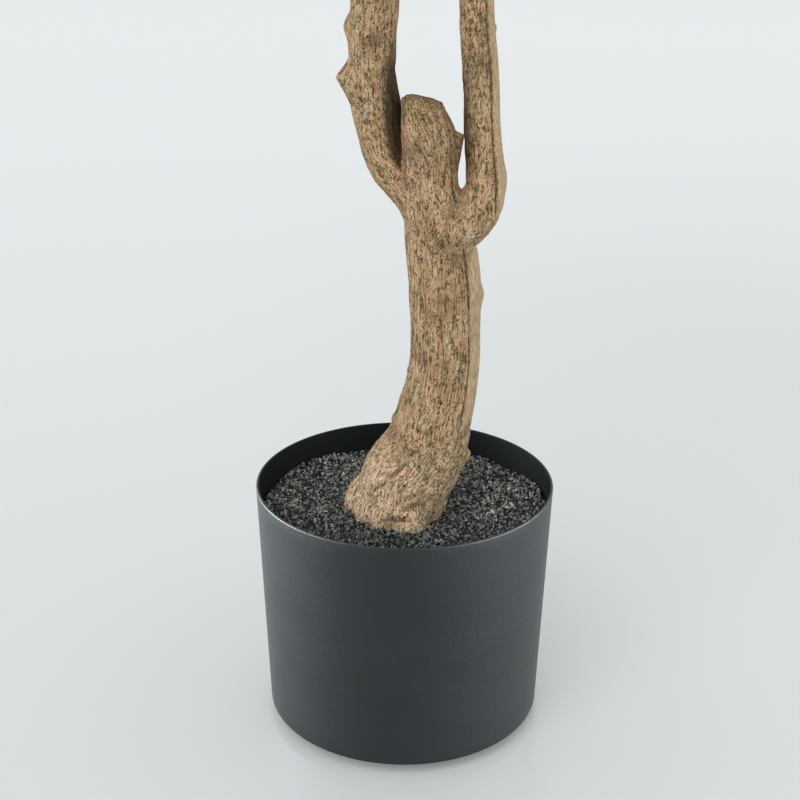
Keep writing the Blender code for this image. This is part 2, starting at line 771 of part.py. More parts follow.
def make_mass(name, tip, way, space, limit, leaf, section, group, draw):
    """Grow one mass of foliage from its bough's tip and fuse it into one solid."""
    parts = new_collection(name + "_parts")
    path = stem_path(tip + way * GAP, way, space, draw)
    stations = tapered(path, BOUGH_TIP_RADIUS, STEM_TIP_RADIUS)
    stem = tube(name, stations, group, sides=STEM_SIDES)
    length = path_length(path)
    bearing = [(path, length * STEM_BARE)]
    space.twigs += list(zip(path, path[1:]))
    for index in range(TWIGS_PER_STEM):
        share = TWIGS_FROM + (TWIGS_TO - TWIGS_FROM) * (index + 0.5) / TWIGS_PER_STEM
        root, stem_way = path_place(path, share * length)
        spread = math.radians(TWIG_SPREAD + draw.uniform(-TWIG_STRAY, TWIG_STRAY))
        side = side_of(stem_way, GOLDEN_ANGLE * index + draw.uniform(-TWIG_TURN, TWIG_TURN))
        twig_way = (stem_way * math.cos(spread) + side * math.sin(spread)).normalized()
        reach = TWIG_LENGTH * (1 - TWIG_TAPER * share) * draw.uniform(*TWIG_SIZES)
        twig_path = fitting_twig(root, twig_way, reach, space)
        if twig_path is None:
            continue
        tube(f"{name}_twig", tapered(twig_path, TWIG_ROOT_RADIUS, TWIG_TIP_RADIUS), parts,
             section=section)
        space.twigs += list(zip(twig_path, twig_path[1:]))
        bearing.append((twig_path, TWIG_BARE))
    add_leaves(bearing, limit, parts, leaf, space, draw)
    apply_boolean(stem, "UNION", parts, solver="MANIFOLD")
    remove_collection(parts)
    keep_main_body(stem.data)
    finish_object(stem, LEAF_FINISH)


def tip_of(stations):
    """Return the place and the direction of a limb's or bough's tip."""
    end = stations[-1][0]
    return end, (end - stations[-2][0]).normalized()


def make_crown(limbs, group, cutters):
    """Make the boughs and the masses of foliage that they and the limbs carry."""
    middles = [Vector(place) * MM for _, place in TIP_MASSES] + ring_middles()
    carriers = [limbs[side] for side, _ in TIP_MASSES]
    for index, middle in enumerate(middles[len(TIP_MASSES):]):
        routes = [(limb, bough_stations(limb, middle)) for limb in limbs.values()]
        limb, stations = min(routes, key=lambda route: (route[1][0][0] - middle).length)
        make_bough(f"bough_{index + 1:02d}", stations, limb, group, cutters)
        carriers.append(stations)
    leaf = leaf_mesh()
    section = triangle_section(cutters)
    draw = random.Random(SEED)
    for index, stations in enumerate(carriers):
        tip, way = tip_of(stations)
        space = Space(index, middles, carriers)
        limit = LEAVES_PER_TIP_MASS if index < len(TIP_MASSES) else LEAVES_PER_MASS
        name = f"foliage_{index + 1:02d}"
        make_mass(name, tip, way, space, limit, leaf, section, group, draw)
    remove_object(section)


def main():
    """Build the whole plant in its pot."""
    clear_scene()
    group = new_collection("potted_eucalyptus")
    cutters = new_collection("cutters")
    make_pot(group)
    make_soil(group)
    make_trunk(group, cutters)
    limbs = {"left": route_points(LEFT_LIMB_ROUTE), "right": route_points(RIGHT_LIMB_ROUTE)}
    make_limb("left_limb", limbs["left"], [LEFT_KNOB], group, cutters)
    make_limb("right_limb", limbs["right"], [], group, cutters)
    make_crown(limbs, group, cutters)


main()
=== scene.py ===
"""Looks of the potted artificial eucalyptus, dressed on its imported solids.

Every surface is worked out in metres, in the frame of the solids: the origin is the middle of
the pot's flat underside, +Z is up and the front is -Y. Tables of places are in millimetres.
"""
import functools
import itertools
import math
import random

import bmesh
import bpy
import numpy as np
from bpy.props import FloatProperty, FloatVectorProperty, IntProperty, PointerProperty
from mathutils import Matrix, Vector


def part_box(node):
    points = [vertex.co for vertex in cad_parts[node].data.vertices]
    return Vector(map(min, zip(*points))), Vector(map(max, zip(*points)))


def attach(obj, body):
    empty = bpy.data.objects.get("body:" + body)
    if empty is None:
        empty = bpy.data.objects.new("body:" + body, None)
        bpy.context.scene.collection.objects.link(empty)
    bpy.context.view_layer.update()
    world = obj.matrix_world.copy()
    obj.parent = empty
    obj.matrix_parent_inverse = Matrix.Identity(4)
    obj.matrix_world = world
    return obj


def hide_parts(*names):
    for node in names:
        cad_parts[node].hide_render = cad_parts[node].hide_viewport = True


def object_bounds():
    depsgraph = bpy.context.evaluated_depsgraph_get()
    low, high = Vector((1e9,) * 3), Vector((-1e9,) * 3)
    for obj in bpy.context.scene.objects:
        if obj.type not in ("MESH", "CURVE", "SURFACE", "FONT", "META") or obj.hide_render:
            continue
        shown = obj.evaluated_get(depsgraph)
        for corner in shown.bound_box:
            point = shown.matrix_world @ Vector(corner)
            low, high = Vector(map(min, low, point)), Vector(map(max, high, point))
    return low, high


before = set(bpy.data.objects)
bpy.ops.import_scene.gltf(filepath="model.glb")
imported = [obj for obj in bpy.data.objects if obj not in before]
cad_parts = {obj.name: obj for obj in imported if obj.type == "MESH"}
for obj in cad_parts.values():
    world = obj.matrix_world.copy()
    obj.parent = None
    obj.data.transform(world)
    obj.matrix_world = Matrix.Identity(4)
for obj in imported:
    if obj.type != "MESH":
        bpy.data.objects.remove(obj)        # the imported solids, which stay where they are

bl_info = {
    "name": "Potted eucalyptus",
    "version": (1, 0, 0),
    "blender": (4, 5, 0),
    "location": "View3D > Sidebar > Eucalyptus",
    "description": "Dresses the solids of a potted artificial eucalyptus",
    "category": "Object",
}

MM = 0.001
SOLIDS_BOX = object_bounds()       # of the solids, before anything stands for them
POT_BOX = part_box("pot")
SOIL_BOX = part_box("soil")
BODY = "root"

# Trunk: x, y, z and radius in millimetres, from under the soil to the top of the sawn stub
TRUNK_ROUTE = (
    (-5, -9, 138, 31), (-4.5, -8, 155, 30.5), (-1.5, -7.5, 166, 30.6), (2.5, -6, 178, 30.5),
    (12.6, -3, 192.7, 28.6), (17, -2, 207, 26.8), (19.8, -1, 221.7, 25.4),
    (23, 0, 236, 24.2), (25.6, 0, 257, 23.3), (25.4, 0, 278, 23), (24.9, 0, 298, 23.3),
    (24, 0, 311.6, 23.4), (22.6, -0.5, 326, 23), (20.6, -1, 342, 21.6), (17.4, -2, 358, 18.6),
    (15.4, -3.5, 373, 16.9), (14.2, -4.5, 395, 16.6), (12.9, -5, 409, 16.7),
    (12.3, -5, 417, 16.1), (12.1, -5, 424, 15.8), (12, -5, 430, 15), (12, -5, 432.5, 13),
)
STUB_DOME = 0.12               # height of the stub's last cap as a share of its radius
# Facets of the stub's top: a point on each and its normal
SAW_CUTS = (
    ((0, -9, 430.8), (0.04, -0.45, 0.89)), ((0, -2, 431.5), (0.06, 0.5, 0.86)),
    ((17, -5, 431.4), (0.40, 0, 0.91)), ((21.4, -5, 424.8), (0.70, 0, 0.71)),
    ((26.7, -5, 418.8), (0.92, 0, 0.38)), ((-2.8, -9, 428.8), (-0.6, -0.3, 0.74)),
)
SAW_SOFTNESS = 3.2             # how far the facets are rounded into each other
SAW_ROUGHNESS = 1.3            # unevenness of the facets
SAW_FREE = (0.408, 0.418)      # heights in metres between which they come to count
# Limbs from the fork up into the crown
LEFT_LIMB_ROUTE = (
    (14.5, 2, 350, 11.5), (8.2, 3, 362, 12.4), (-1.6, 4, 373.5, 13), (-12.6, 5.5, 390, 13.7),
    (-17, 6, 408, 14.6), (-18.9, 5.5, 421, 15.3), (-20.6, 4, 435, 14.8), (-21.2, 3, 450, 14.6),
    (-21.2, 3, 467.4, 15.1), (-19.5, 4, 485, 15.2), (-21, 8, 540, 14), (-36, 18, 610, 12.6),
    (-60, 34, 700, 10.8), (-78, 46, 800, 9.2), (-80, 46, 900, 7.6), (-68, 36, 1000, 6.2),
    (-50, 22, 1100, 4.8), (-38, 14, 1180, 3.6),
)
RIGHT_LIMB_ROUTE = (
    (14, -7, 362, 8), (21.5, -10.5, 354.5, 11.2), (29.5, -12.5, 349.8, 12.8),
    (37.2, -11.5, 350.5, 13.6), (45, -8.8, 358.8, 13.5), (48.6, -6.5, 373, 12.8),
    (48.3, -5, 384, 12.5), (47.3, -4, 395.5, 12), (45.7, -3, 414, 11.5), (44.8, -2, 432, 11.4),
    (43.5, -2, 450, 11.1), (41.6, -2, 467.7, 10.7), (40.5, -3, 485, 10.3),
    (39, -8, 540, 9.8), (50, -20, 610, 9.2), (72, -36, 700, 8.4), (84, -46, 800, 7.6),
    (80, -44, 900, 6.8), (64, -32, 1000, 6), (46, -18, 1100, 5), (34, -8, 1200, 3.6),
)

# Root flare: direction round the foot in degrees and reach from the foot's middle
ROOTS = ((172, 38.5), (213, 34.5), (245, 34), (280, 37), (322, 26), (18, 30.5), (95, 35))
ROOT_FOOT = (-2, -8)           # middle of the foot
# Stations of a root: share of its reach, share of the lean and height over the soil
ROOT_STATIONS = ((0.16, 1.0, 40), (0.58, 0.5, 24), (1.0, 0.0, 4), (1.02, 0.0, -16))
ROOT_LEAN = (11, 4)            # how far the flare's top leans with the trunk
ROOT_RADIUS = 13

# Spurs: place of the tip, height, and how far the skirt runs up, down and round the limb
SPURS = {
    "trunk": (
        ((49.3, 0, 303), 2.0, 9, 12, 10), ((41, -13, 197.5), 3.9, 2.4, 18, 6),
        ((34, -4, 405.6), 5.6, 3.4, 30, 4.6), ((-18, -10, 222), 2.2, 8, 6, 9),
        ((-1.4, -3, 252), 1.0, 4, 4, 4), ((-1.5, -6, 430), 1.8, 7, 7, 5.5),
    ),
    "left": (((-43.4, 1, 439.4), 8.2, 11.5, 18, 9.5), ((-37.6, 2, 470), 1.8, 9, 9, 8)),
    "right": (((60.5, -4, 379), 1.2, 12, 14, 9), ((52.6, -3, 470), 0.9, 3, 5, 3)),
}
THORN = 3.0                    # a spur higher than this is pointed, a lower one is a round bump
SPUR_POINT = 1.25              # power of a spur's skirt: 1 is a cone, more is a thorn
FRONT = np.array((0.0, 1.0, 0.0))      # guide for upright limbs: the log's angle runs from +X
STUB_TWIST = 0.022             # turn of the stub's grain in radians for each millimetre
STUB_START, STUB_LENGTH = 393, 32     # height from which the grain turns, and how far up
# Heights from here to the smooth bands are in metres
# the foot's bark is also painted paler there, as painted light against the shade of the pot's wall
# and the soil
FOOT_RISE = (0.213, 0.180)     # heights between which the foot's own bark comes in
FOOT_SQUEEZE = 1.9             # how much shorter the grain is there
FOOT_WRINKLES = (0.208, 0.170)         # heights between which level wrinkles take over
FOOT_QUIET = (0.156, 0.170)    # heights between which the relief comes in over the soil
FORK_START = 0.33              # height above which the grain is shorter again
FORK_SQUEEZE = 1.2             # how much shorter it is there
FORK_TOP, FORK_BOTTOM = (0.386, 0.366), (0.346, 0.358)     # heights where the fork fades out
FILLET, FORK_FILLET = 2.0, 8.0         # millimetres of fillet between limbs, and in the fork
FORK_REACH = 0.52              # height up to which a limb counts as near the fork
MELT_PASSES = 4
MELT_DEPTH = (-4.5 * MM, -1.0 * MM)    # depths inside a neighbour between which points stay
MELT_TOP = (0.424, 0.414)      # heights between which the stub stays out of the melting
SHADE_REACH = 16 * MM          # width of a gap that lies in shade
SHADE_START = (0.374, 0.388)   # heights between which the fork's shade comes in
RELIEF_FADE = (1.05, 1.25)     # heights between which the limbs' relief fades
# Smooth band: angle of its front edge below and above the fork, angle of its back edge, height
# above which it comes in, and the share of it that is kept above the fork
TRUNK_BAND = ((-0.86, -0.60), 0.5, 0.212, 0.25)
LIMB_BAND = ((-1.0, -1.0), 0.5, 0.352, 1.0)
BAND_TURN = (0.345, 0.375)     # heights between which the front edge turns
BAND_LOSS = (0.360, 0.380)     # heights between which the band shrinks to its share
GRAIN_RISE = 0.014             # height over which a band or an upright grain comes in
UPRIGHT_GRAIN = 0.376          # height below which the right limb's grain stands upright
DOME_RINGS = 6                 # rings of a limb's rounded end
FOLD_ARC = 34                  # millimetres of arc for each radian round the foot
# Ridges of the melted lobe: its line, the lift and the depth of the crease below it, which is
# also painted dark as painted shade
RIDGES = (
    (((15.6, -24, 355), (20.6, -26, 348.5), (29.4, -26, 339), (38, -22, 335), (44, -14, 338)),
     1.7, 1.0),
    (((16, -23, 358), (23, -23, 362.5), (31, -19, 367.5), (37, -13, 372)), 1.3, 0.35),
)
RIDGE_WIDTH = 2.3              # half width of a ridge
# Knots: place on the skin and radius of the ring; the middle of a small one is a hole
KNOTS = (
    ((29.5, -22, 272.8), 1.9), ((20, -23, 304), 6.2), ((27, -22, 262), 4.2),
    ((53.4, -12, 441), 2.4), ((44.4, -13, 461), 2.2), ((-22, -12, 462), 3.8),
    ((7, -34, 214), 3.0), ((13, -21, 384), 2.6), ((-6, -12, 436), 2.0), ((33, -28, 343), 2.4),
)
# How much of the fork's shade each limb takes
SHADES = {"trunk": 0.35, "left": 1.9, "right": 1.0}
# Calm places, where the bark is nearly smooth: middle, reach and strength
CALMS = (((34, -13, 363), 9, 0.75), ((22, -18, 358), 6, 0.6), ((8, -20, 372), 5, 0.5))
# Darker patches, laid on the painted shade: painted shade under the lobe's lip and on the flange
# beside the stub, and darker bark elsewhere; middle, reach and depth
DARK_PATCHES = (
    ((22, -24, 340), 8, 0.5), ((30, -24, 331), 7, 0.5), ((40, -20, 330), 5, 0.5),
    ((24, -27, 354), 4, 0.3), ((33, -8, 400), 6, 0.35), ((31, -8, 389), 7, 0.35),
    ((29, -8, 377), 6, 0.3),
    ((6, -18, 398), 7, 0.45), ((17, -20, 262), 8, 0.3), ((24, -22, 298), 7, 0.3),
    ((8, -40, 175), 7, 0.2), ((12, -36, 196), 8, 0.15), ((46, -14, 452), 6, 0.4),
    ((-20, -12, 462), 8, 0.35), ((-12, -12, 446), 6, 0.3),
)
# Flecks of pale lichen: middle, reach and strength
FLECKS = (
    ((-25, -10, 425), 3.5, 1), ((-1, -19, 426), 4, 1), ((29, -27, 352), 3.5, 1),
    ((39, -24, 348), 4.5, 1), ((11, -33, 230), 4, 1), ((14, -35, 220), 6, 1),
    ((11, -38, 210), 5, 1), ((38, -20, 217), 5, 1),
)
# Folds of the foot: height at the middle, slope, direction in degrees, half span, and lift
FOLDS = (
    (195, 0.65, 264, 20, 1.7), (173, 0.30, 281, 15, 1.6), (207, 0.3, 292, 13, 0.9),
    (164, 0.2, 262, 20, 0.9), (184, 0.5, 238, 14, 0.8),
)

# Crown, as its solids have it
CROWN_MIDDLE = np.array((0, 0, 1052)) * MM
CROWN_REACH = np.array((390, 375, 460)) * MM
TIP_MASSES = (("left", (-62, 34, 1310)), ("right", (54, -24, 1340)))
# Rings of masses: how many, height, radius and the first one's direction in degrees
RINGS = ((5, 800, 205, 20), (5, 1020, 235, 56), (3, 1215, 165, 95))
BOUGH_LOWEST = 600 * MM
BOUGH_HIGHEST = 1080 * MM
BOUGH_REACH = 0.56             # share of the way to its mass that a bough goes
BOUGH_STEEPNESS = 0.9          # how far below its mass a bough starts, for its way out
BOUGH_LIFT = 0.3
BOUGH_BEND = ((0.3, 0.35), (0.72, 0.28))
BOUGH_THICKNESS = 0.62
BOUGH_ROOT_LIMIT = 6.2 * MM
BOUGH_TIP_RADIUS = 3.0 * MM
STEM_STEP = 62 * MM
STEM_STEPS = 6
STEM_FIRST_TURN = 0.35
STEM_SWAY = 0.1
STEM_PITCH = (12, 80)
GOLDEN_ANGLE = math.radians(137.508)
STEM_BARE = 0.72               # share of a stem that bears no leaves of its own
STEM_TIP_RADIUS = 1.0 * MM
TWIG_SPREAD = 58               # degrees from its stem
TWIG_RADII = (1.5 * MM, 0.6 * MM)
TWIG_RISE, SIDE_TWIG_RISE = 0.5, 0.3   # how much a twig bends upwards
TWIG_LEAST, SIDE_TWIG_LEAST = 45 * MM, 28 * MM
TWIG_BARE, SIDE_TWIG_BARE = 40 * MM, 12 * MM
TWIG_SHRINK = 0.84             # a twig that leaves its space is tried again at this share
SIDE_TWIG_STEP = 27 * MM
SIDE_TWIG_SPREAD = (48, 6)     # degrees from its twig, and their deviation
SIDE_TWIG_RADII = (0.75 * MM, 0.4 * MM)
LEAF_SPREAD = (58, 7)
CLEARANCE = 3 * MM             # from stems and twigs to the border of their space
TWIG_OVERHANG, LEAF_OVERHANG = 3 * MM, 6 * MM     # how far they may pass the solids' box
LEAF_MIDDLE, LEAF_TIP = 0.55, 1.08     # places on a leaf as shares of its length
LEAF_FROM_WOOD, LEAF_FROM_LEAF = 0.42, 0.30       # least gaps as shares of its length
LEAF_TINTS = (                 # linear colours of the leaf cloth
    (0.150, 0.215, 0.150), (0.190, 0.262, 0.196), (0.232, 0.300, 0.232),
    (0.165, 0.240, 0.200), (0.270, 0.318, 0.205),
)
LIGHT_TINTS = (2, 4)           # numbers of the tints on a stem's own leaves
TINT_SPRAYS = ((0, 0, 1), (1, 1, 3), (1, 2, 2), (3, 3, 1), (0, 3, 3), (2, 4, 4))

# Colours of the bark's details and of the twigs
# tones of the foot: peach and pink, painted paler than the trunk as painted light where the pot's
# wall and the soil shade it
LIT_FOOT_TONES = ((0.92, 0.48, 0.25), (1.0, 0.92, 0.66))
LIT_FOOT_PINK = (0.92, 0.46, 0.34)
STRIP_TONES = ((0.42, 0.29, 0.165), (0.72, 0.55, 0.35))
KNOT_TONE = (0.135, 0.062, 0.036)
LICHEN_TONE = (0.66, 0.80, 0.60)
# colour of the painted shade deep in the fork and on the darker patches
PAINTED_SHADE_TONE = (0.035, 0.022, 0.010)
TWIG_TONES = ((0.150, 0.095, 0.050), (0.135, 0.140, 0.060))
TWIG_PALE = (0.26, 0.19, 0.11)

# Stage
CAMERA_SHIFT = -3.38 * MM      # how far beside the axis the camera looks
FLOOR_RADIUS = 40
PANEL_TARGET = (0, 0, 0.2)
GLOW_FADE = (1.5, 12.0)        # metres from the plant between which the floor's glow fades
GLOW_LOSS = 0.75               # share of the glow that is lost far away
SOFT_LAMP_STRENGTH = 0.75
SOFT_LAMP_ANGLE = math.radians(40)
SOFT_LAMP_WAY = (-0.6, -1.0, 1.1)     # where the soft lamp's light comes from
PANEL_COLOUR = (0.86, 0.96, 1.0)
GLOSS_PANELS = (               # name, place, size in metres and brightness; only gloss sees them
    ("left_panel", (-1.7, 0.25, 0.5), (1.7, 1.4), 27.0),
    ("right_panel", (1.65, -0.35, 0.5), (2.1, 1.4), 15.5),
)


# ---------------------------------------------------------------- settings

def length(label, text, default):
    """A length property in metres."""
    return FloatProperty(name=label, description=text, default=default, min=0.0, unit="LENGTH",
                         precision=5)


def share(label, text, default):
    """A property without a unit, from nothing to one."""
    return FloatProperty(name=label, description=text, default=default, min=0.0, max=1.0,
                         subtype="FACTOR")


def colour(label, text, default):
    """A colour property in linear light."""
    return FloatVectorProperty(name=label, description=text, default=default, size=3, min=0.0,
                               max=1.0, subtype="COLOR")


class PotSettings(bpy.types.PropertyGroup):
    """Sizes and colour of the pot."""

    height: length("Height", "From the foot to the lip", POT_BOX[1].z)
    top_radius: length("Top radius", "Outer radius at the lip", POT_BOX[1].x)
    low_radius: length("Low radius", "Outer radius at the lower edge", 94 * MM)
    wall: length("Wall", "Thickness of the wall", 2.2 * MM)
    foot_height: length("Foot height", "Height of the foot that is set in", 7.8 * MM)
    foot_inset: length("Foot inset", "From the lower edge in to the foot", 14 * MM)
    edge: length("Edge", "Rounding of the lower edges", 0.5 * MM)
    plastic: colour("Plastic", "Dark grey of the moulded plastic", (0.0100, 0.0142, 0.0162))


class SoilSettings(bpy.types.PropertyGroup):
    """Sizes and colour of the pot's fill."""

    top: length("Top", "Height of the fill", SOIL_BOX[1].z)
    crumb: length("Crumb", "Half length of a crumb", 1.0 * MM)
    crumbs: IntProperty(name="Crumbs", description="Number of loose crumbs", default=9900, min=0)
    black: colour("Crumb colour", "Black of the crumbs", (0.030, 0.031, 0.029))
    dust: colour("Dust", "Grey of the dusty crumbs", (0.680, 0.690, 0.630))


class BarkSettings(bpy.types.PropertyGroup):
    """Relief and colours of the bark."""

    lump: length("Lumps", "Height of the broad lumps", 0.95 * MM)
    furrow: length("Furrows", "Depth of the long furrows", 0.55 * MM)
    slot: length("Slots", "Depth of the short slots", 0.6 * MM)
    groove: length("Groove", "Depth of the groove beside the smooth band", 1.5 * MM)
    tan: colour("Tan", "Main colour", (0.520, 0.330, 0.158))
    pale: colour("Pale", "Colour of raised fibres", (0.835, 0.608, 0.372))
    pink: colour("Pink", "Colour of the pinkish patches", (0.690, 0.300, 0.198))
    green: colour("Green", "Colour of the long streaks", (0.150, 0.168, 0.038))
    # the dark of the slots also paints the shade in the creases and the groove
    dark: colour("Dark", "Colour in the slots", (0.070, 0.040, 0.010))


class CrownSettings(bpy.types.PropertyGroup):
    """Twigs and leaves."""

    twigs: IntProperty(name="Twigs", description="Main twigs on each stem", default=9, min=1)
    twig: length("Twig", "Length of a twig at its stem's root", 205 * MM)
    side_twig: length("Side twig", "Length of a side twig", 88 * MM)
    pair_step: length("Pair step", "From one pair of leaves to the next", 17 * MM)
    leaf: length("Leaf", "Length of a leaf's blade", 31 * MM)
    leaf_width: share("Leaf width", "Width of a leaf as a share of its length", 0.94)
    leaf_thickness: length("Leaf thickness", "Thickness of a leaf", 0.4 * MM)
    seed: IntProperty(name="Seed", description="Seed of the crown's random draws", default=21)


class StageSettings(bpy.types.PropertyGroup):
    """Camera, floor and lights."""

    distance: length("Distance", "From the camera to what it looks at", 943.9 * MM)
    look_height: length("Look height", "Height that the camera looks at", 228.8 * MM)
    elevation: FloatProperty(name="Elevation", description="Camera's slope, looking down",
                             default=math.radians(22.07), subtype="ANGLE")
    roll: FloatProperty(name="Roll", description="Camera's turn about its own line of sight",
                        default=math.radians(0.3008), subtype="ANGLE")
    lens: FloatProperty(name="Lens", description="Focal length on a 36 mm sensor, in millimetres",
                        default=64.3, min=1.0)
    paper: colour("Paper", "Colour of floor and backdrop", (0.665, 0.678, 0.680))
    glow: share("Glow", "Light that the paper gives off by itself", 0.14)
    sky: colour("Sky", "Colour of the even light all round", (0.955, 0.985, 1.0))
    sky_strength: share("Sky strength", "Brightness of the even light", 0.80)


SETTINGS = {
    "euc_pot": PotSettings,
    "euc_soil": SoilSettings,
    "euc_bark": BarkSettings,
    "euc_crown": CrownSettings,
    "euc_stage": StageSettings,
}


# ---------------------------------------------------------------- materials

class Signal:
    """A socket of a node tree. Arithmetic on it adds Math nodes."""

    def __init__(self, finish, socket):
        self.finish = finish
        self.socket = socket

    def combine(self, operation, first, second):
        """Add one Math node."""
        return self.finish.node("ShaderNodeMath", {"operation": operation},
                                {0: first, 1: second})

    def __add__(self, other):
        return self.combine("ADD", self, other)

    def __radd__(self, other):
        return self.combine("ADD", other, self)

    def __sub__(self, other):
        return self.combine("SUBTRACT", self, other)

    def __rsub__(self, other):
        return self.combine("SUBTRACT", other, self)

    def __mul__(self, other):
        return self.combine("MULTIPLY", self, other)


class Finish:
    """A material and its Principled shader, with short ways to add nodes."""

    def __init__(self, name, **constants):
        self.material = bpy.data.materials.new(name)
        self.material.use_nodes = True
        self.tree = self.material.node_tree
        self.shader = self.tree.nodes["Principled BSDF"]
        for socket, value in constants.items():
            self.input(socket).default_value = value

    def input(self, name):
        """The shader's socket of this name in plain letters."""
        return self.shader.inputs[name.replace("_", " ").title().replace("Ior", "IOR")]

    def node(self, kind, settings, sockets, output=0):
        """Add a node: its settings first, then values or links."""
        made = self.tree.nodes.new(kind)
        for key, value in settings.items():
            setattr(made, key, value)
        for key, value in sockets.items():
            self.join(value, made.inputs[key])
        return Signal(self, made.outputs[output])

    def join(self, value, socket):
        """Link a signal to a socket, or set the socket's own value."""
        if isinstance(value, Signal):
            self.tree.links.new(value.socket, socket)
        else:
            socket.default_value = value

    def feed(self, **signals):
        """Link signals to the shader."""
        for socket, signal in signals.items():
            self.join(signal, self.input(socket))

    def place(self):
        """Object coordinates."""
        return self.node("ShaderNodeTexCoord", {}, {}, "Object")

    def attribute(self, name, output):
        """A mesh attribute."""
        return self.node("ShaderNodeAttribute", {"attribute_name": name}, {}, output)

    def noise(self, vector, cell, detail=2.0, roughness=0.5, distortion=0.0):
        """Smooth noise round a half, with lumps of this size along each axis, in millimetres."""
        scaled = self.node("ShaderNodeVectorMath", {"operation": "MULTIPLY"},
                           {0: vector, 1: tuple(1000 / side for side in cell)})
        return self.node("ShaderNodeTexNoise", {}, {
            "Vector": scaled, "Scale": 1.0, "Detail": detail, "Roughness": roughness,
            "Distortion": distortion}, "Fac")

    def step(self, value, low, high):
        """Ease from nothing to one as the value goes from low to high."""
        return self.node("ShaderNodeMapRange", {"interpolation_type": "SMOOTHSTEP"},
                         {"Value": value, "From Min": low, "From Max": high})

    def mix(self, amount, first, second):
        """Mix two colours."""
        made = self.tree.nodes.new("ShaderNodeMix")
        made.data_type = "RGBA"
        self.join(amount, made.inputs["Factor"])
        for value, socket in ((first, made.inputs[6]), (second, made.inputs[7])):
            self.join(value if isinstance(value, Signal) else (*value, 1.0), socket)
        return Signal(self, made.outputs[2])

    def bump(self, height, distance):
        """Feed a Bump node to the shader's normal."""
        normal = self.node("ShaderNodeBump", {}, {
            "Height": height, "Distance": distance, "Strength": 1.0}, "Normal")
        self.feed(normal=normal)


def shaded(tone, factor, lift=0.0):
    """A colour with each channel times the factor, plus the lift."""
    return tuple(channel * factor + lift for channel in tone)


def plastic_finish(settings, dull_and_shaded=False):
    """Moulded plastic: satin, with a fine grain and faint scuffs, or dull on the inside, where
    its grey is also painted darker as painted shade.
    """
    name = "pot_inner_plastic" if dull_and_shaded else "pot_plastic"
    finish = Finish(name, specular_ior_level=0.08 if dull_and_shaded else 0.42)
    place = finish.place()
    cloud = finish.noise(place, (38, 38, 24), detail=3.0)
    scuff = finish.step(finish.noise(place, (9, 9, 2.2), detail=4.0), 0.60, 0.72)
    # painted shade: on the inside the grey is darker than outside
    base = shaded(settings.plastic, 0.4 if dull_and_shaded else 1)
    tone = finish.mix(finish.step(cloud, 0.35, 0.7) * 0.35, base, shaded(base, 1.25, 0.002))
    finish.feed(base_color=finish.mix(scuff * 0.18, tone, shaded(base, 2)),
                roughness=0.44 + cloud * 0.1 + scuff * 0.06 + (0.3 if dull_and_shaded else 0))
    finish.bump(finish.noise(place, (1.5, 1.5, 1.5), detail=3.0), 0.16 * MM)
    return finish.material


def crumb_finish(settings):
    """Black crumbs, some of them grey with dust: the attribute tone says how dusty each is, and
    holds the painted shade towards the pot's front.
    """
    finish = Finish("soil_crumbs", specular_ior_level=0.08)
    fine = finish.noise(finish.place(), (0.6, 0.6, 0.6))
    tone = finish.mix(finish.attribute("tone", "Fac"), settings.black, settings.dust)
    finish.feed(base_color=finish.mix(finish.step(fine, 0.46, 0.34) * 0.6, tone,
                                      shaded(settings.black, 0.35)),
                roughness=0.48 + fine * 0.3)
    finish.bump(fine, 0.15 * MM)
    return finish.material


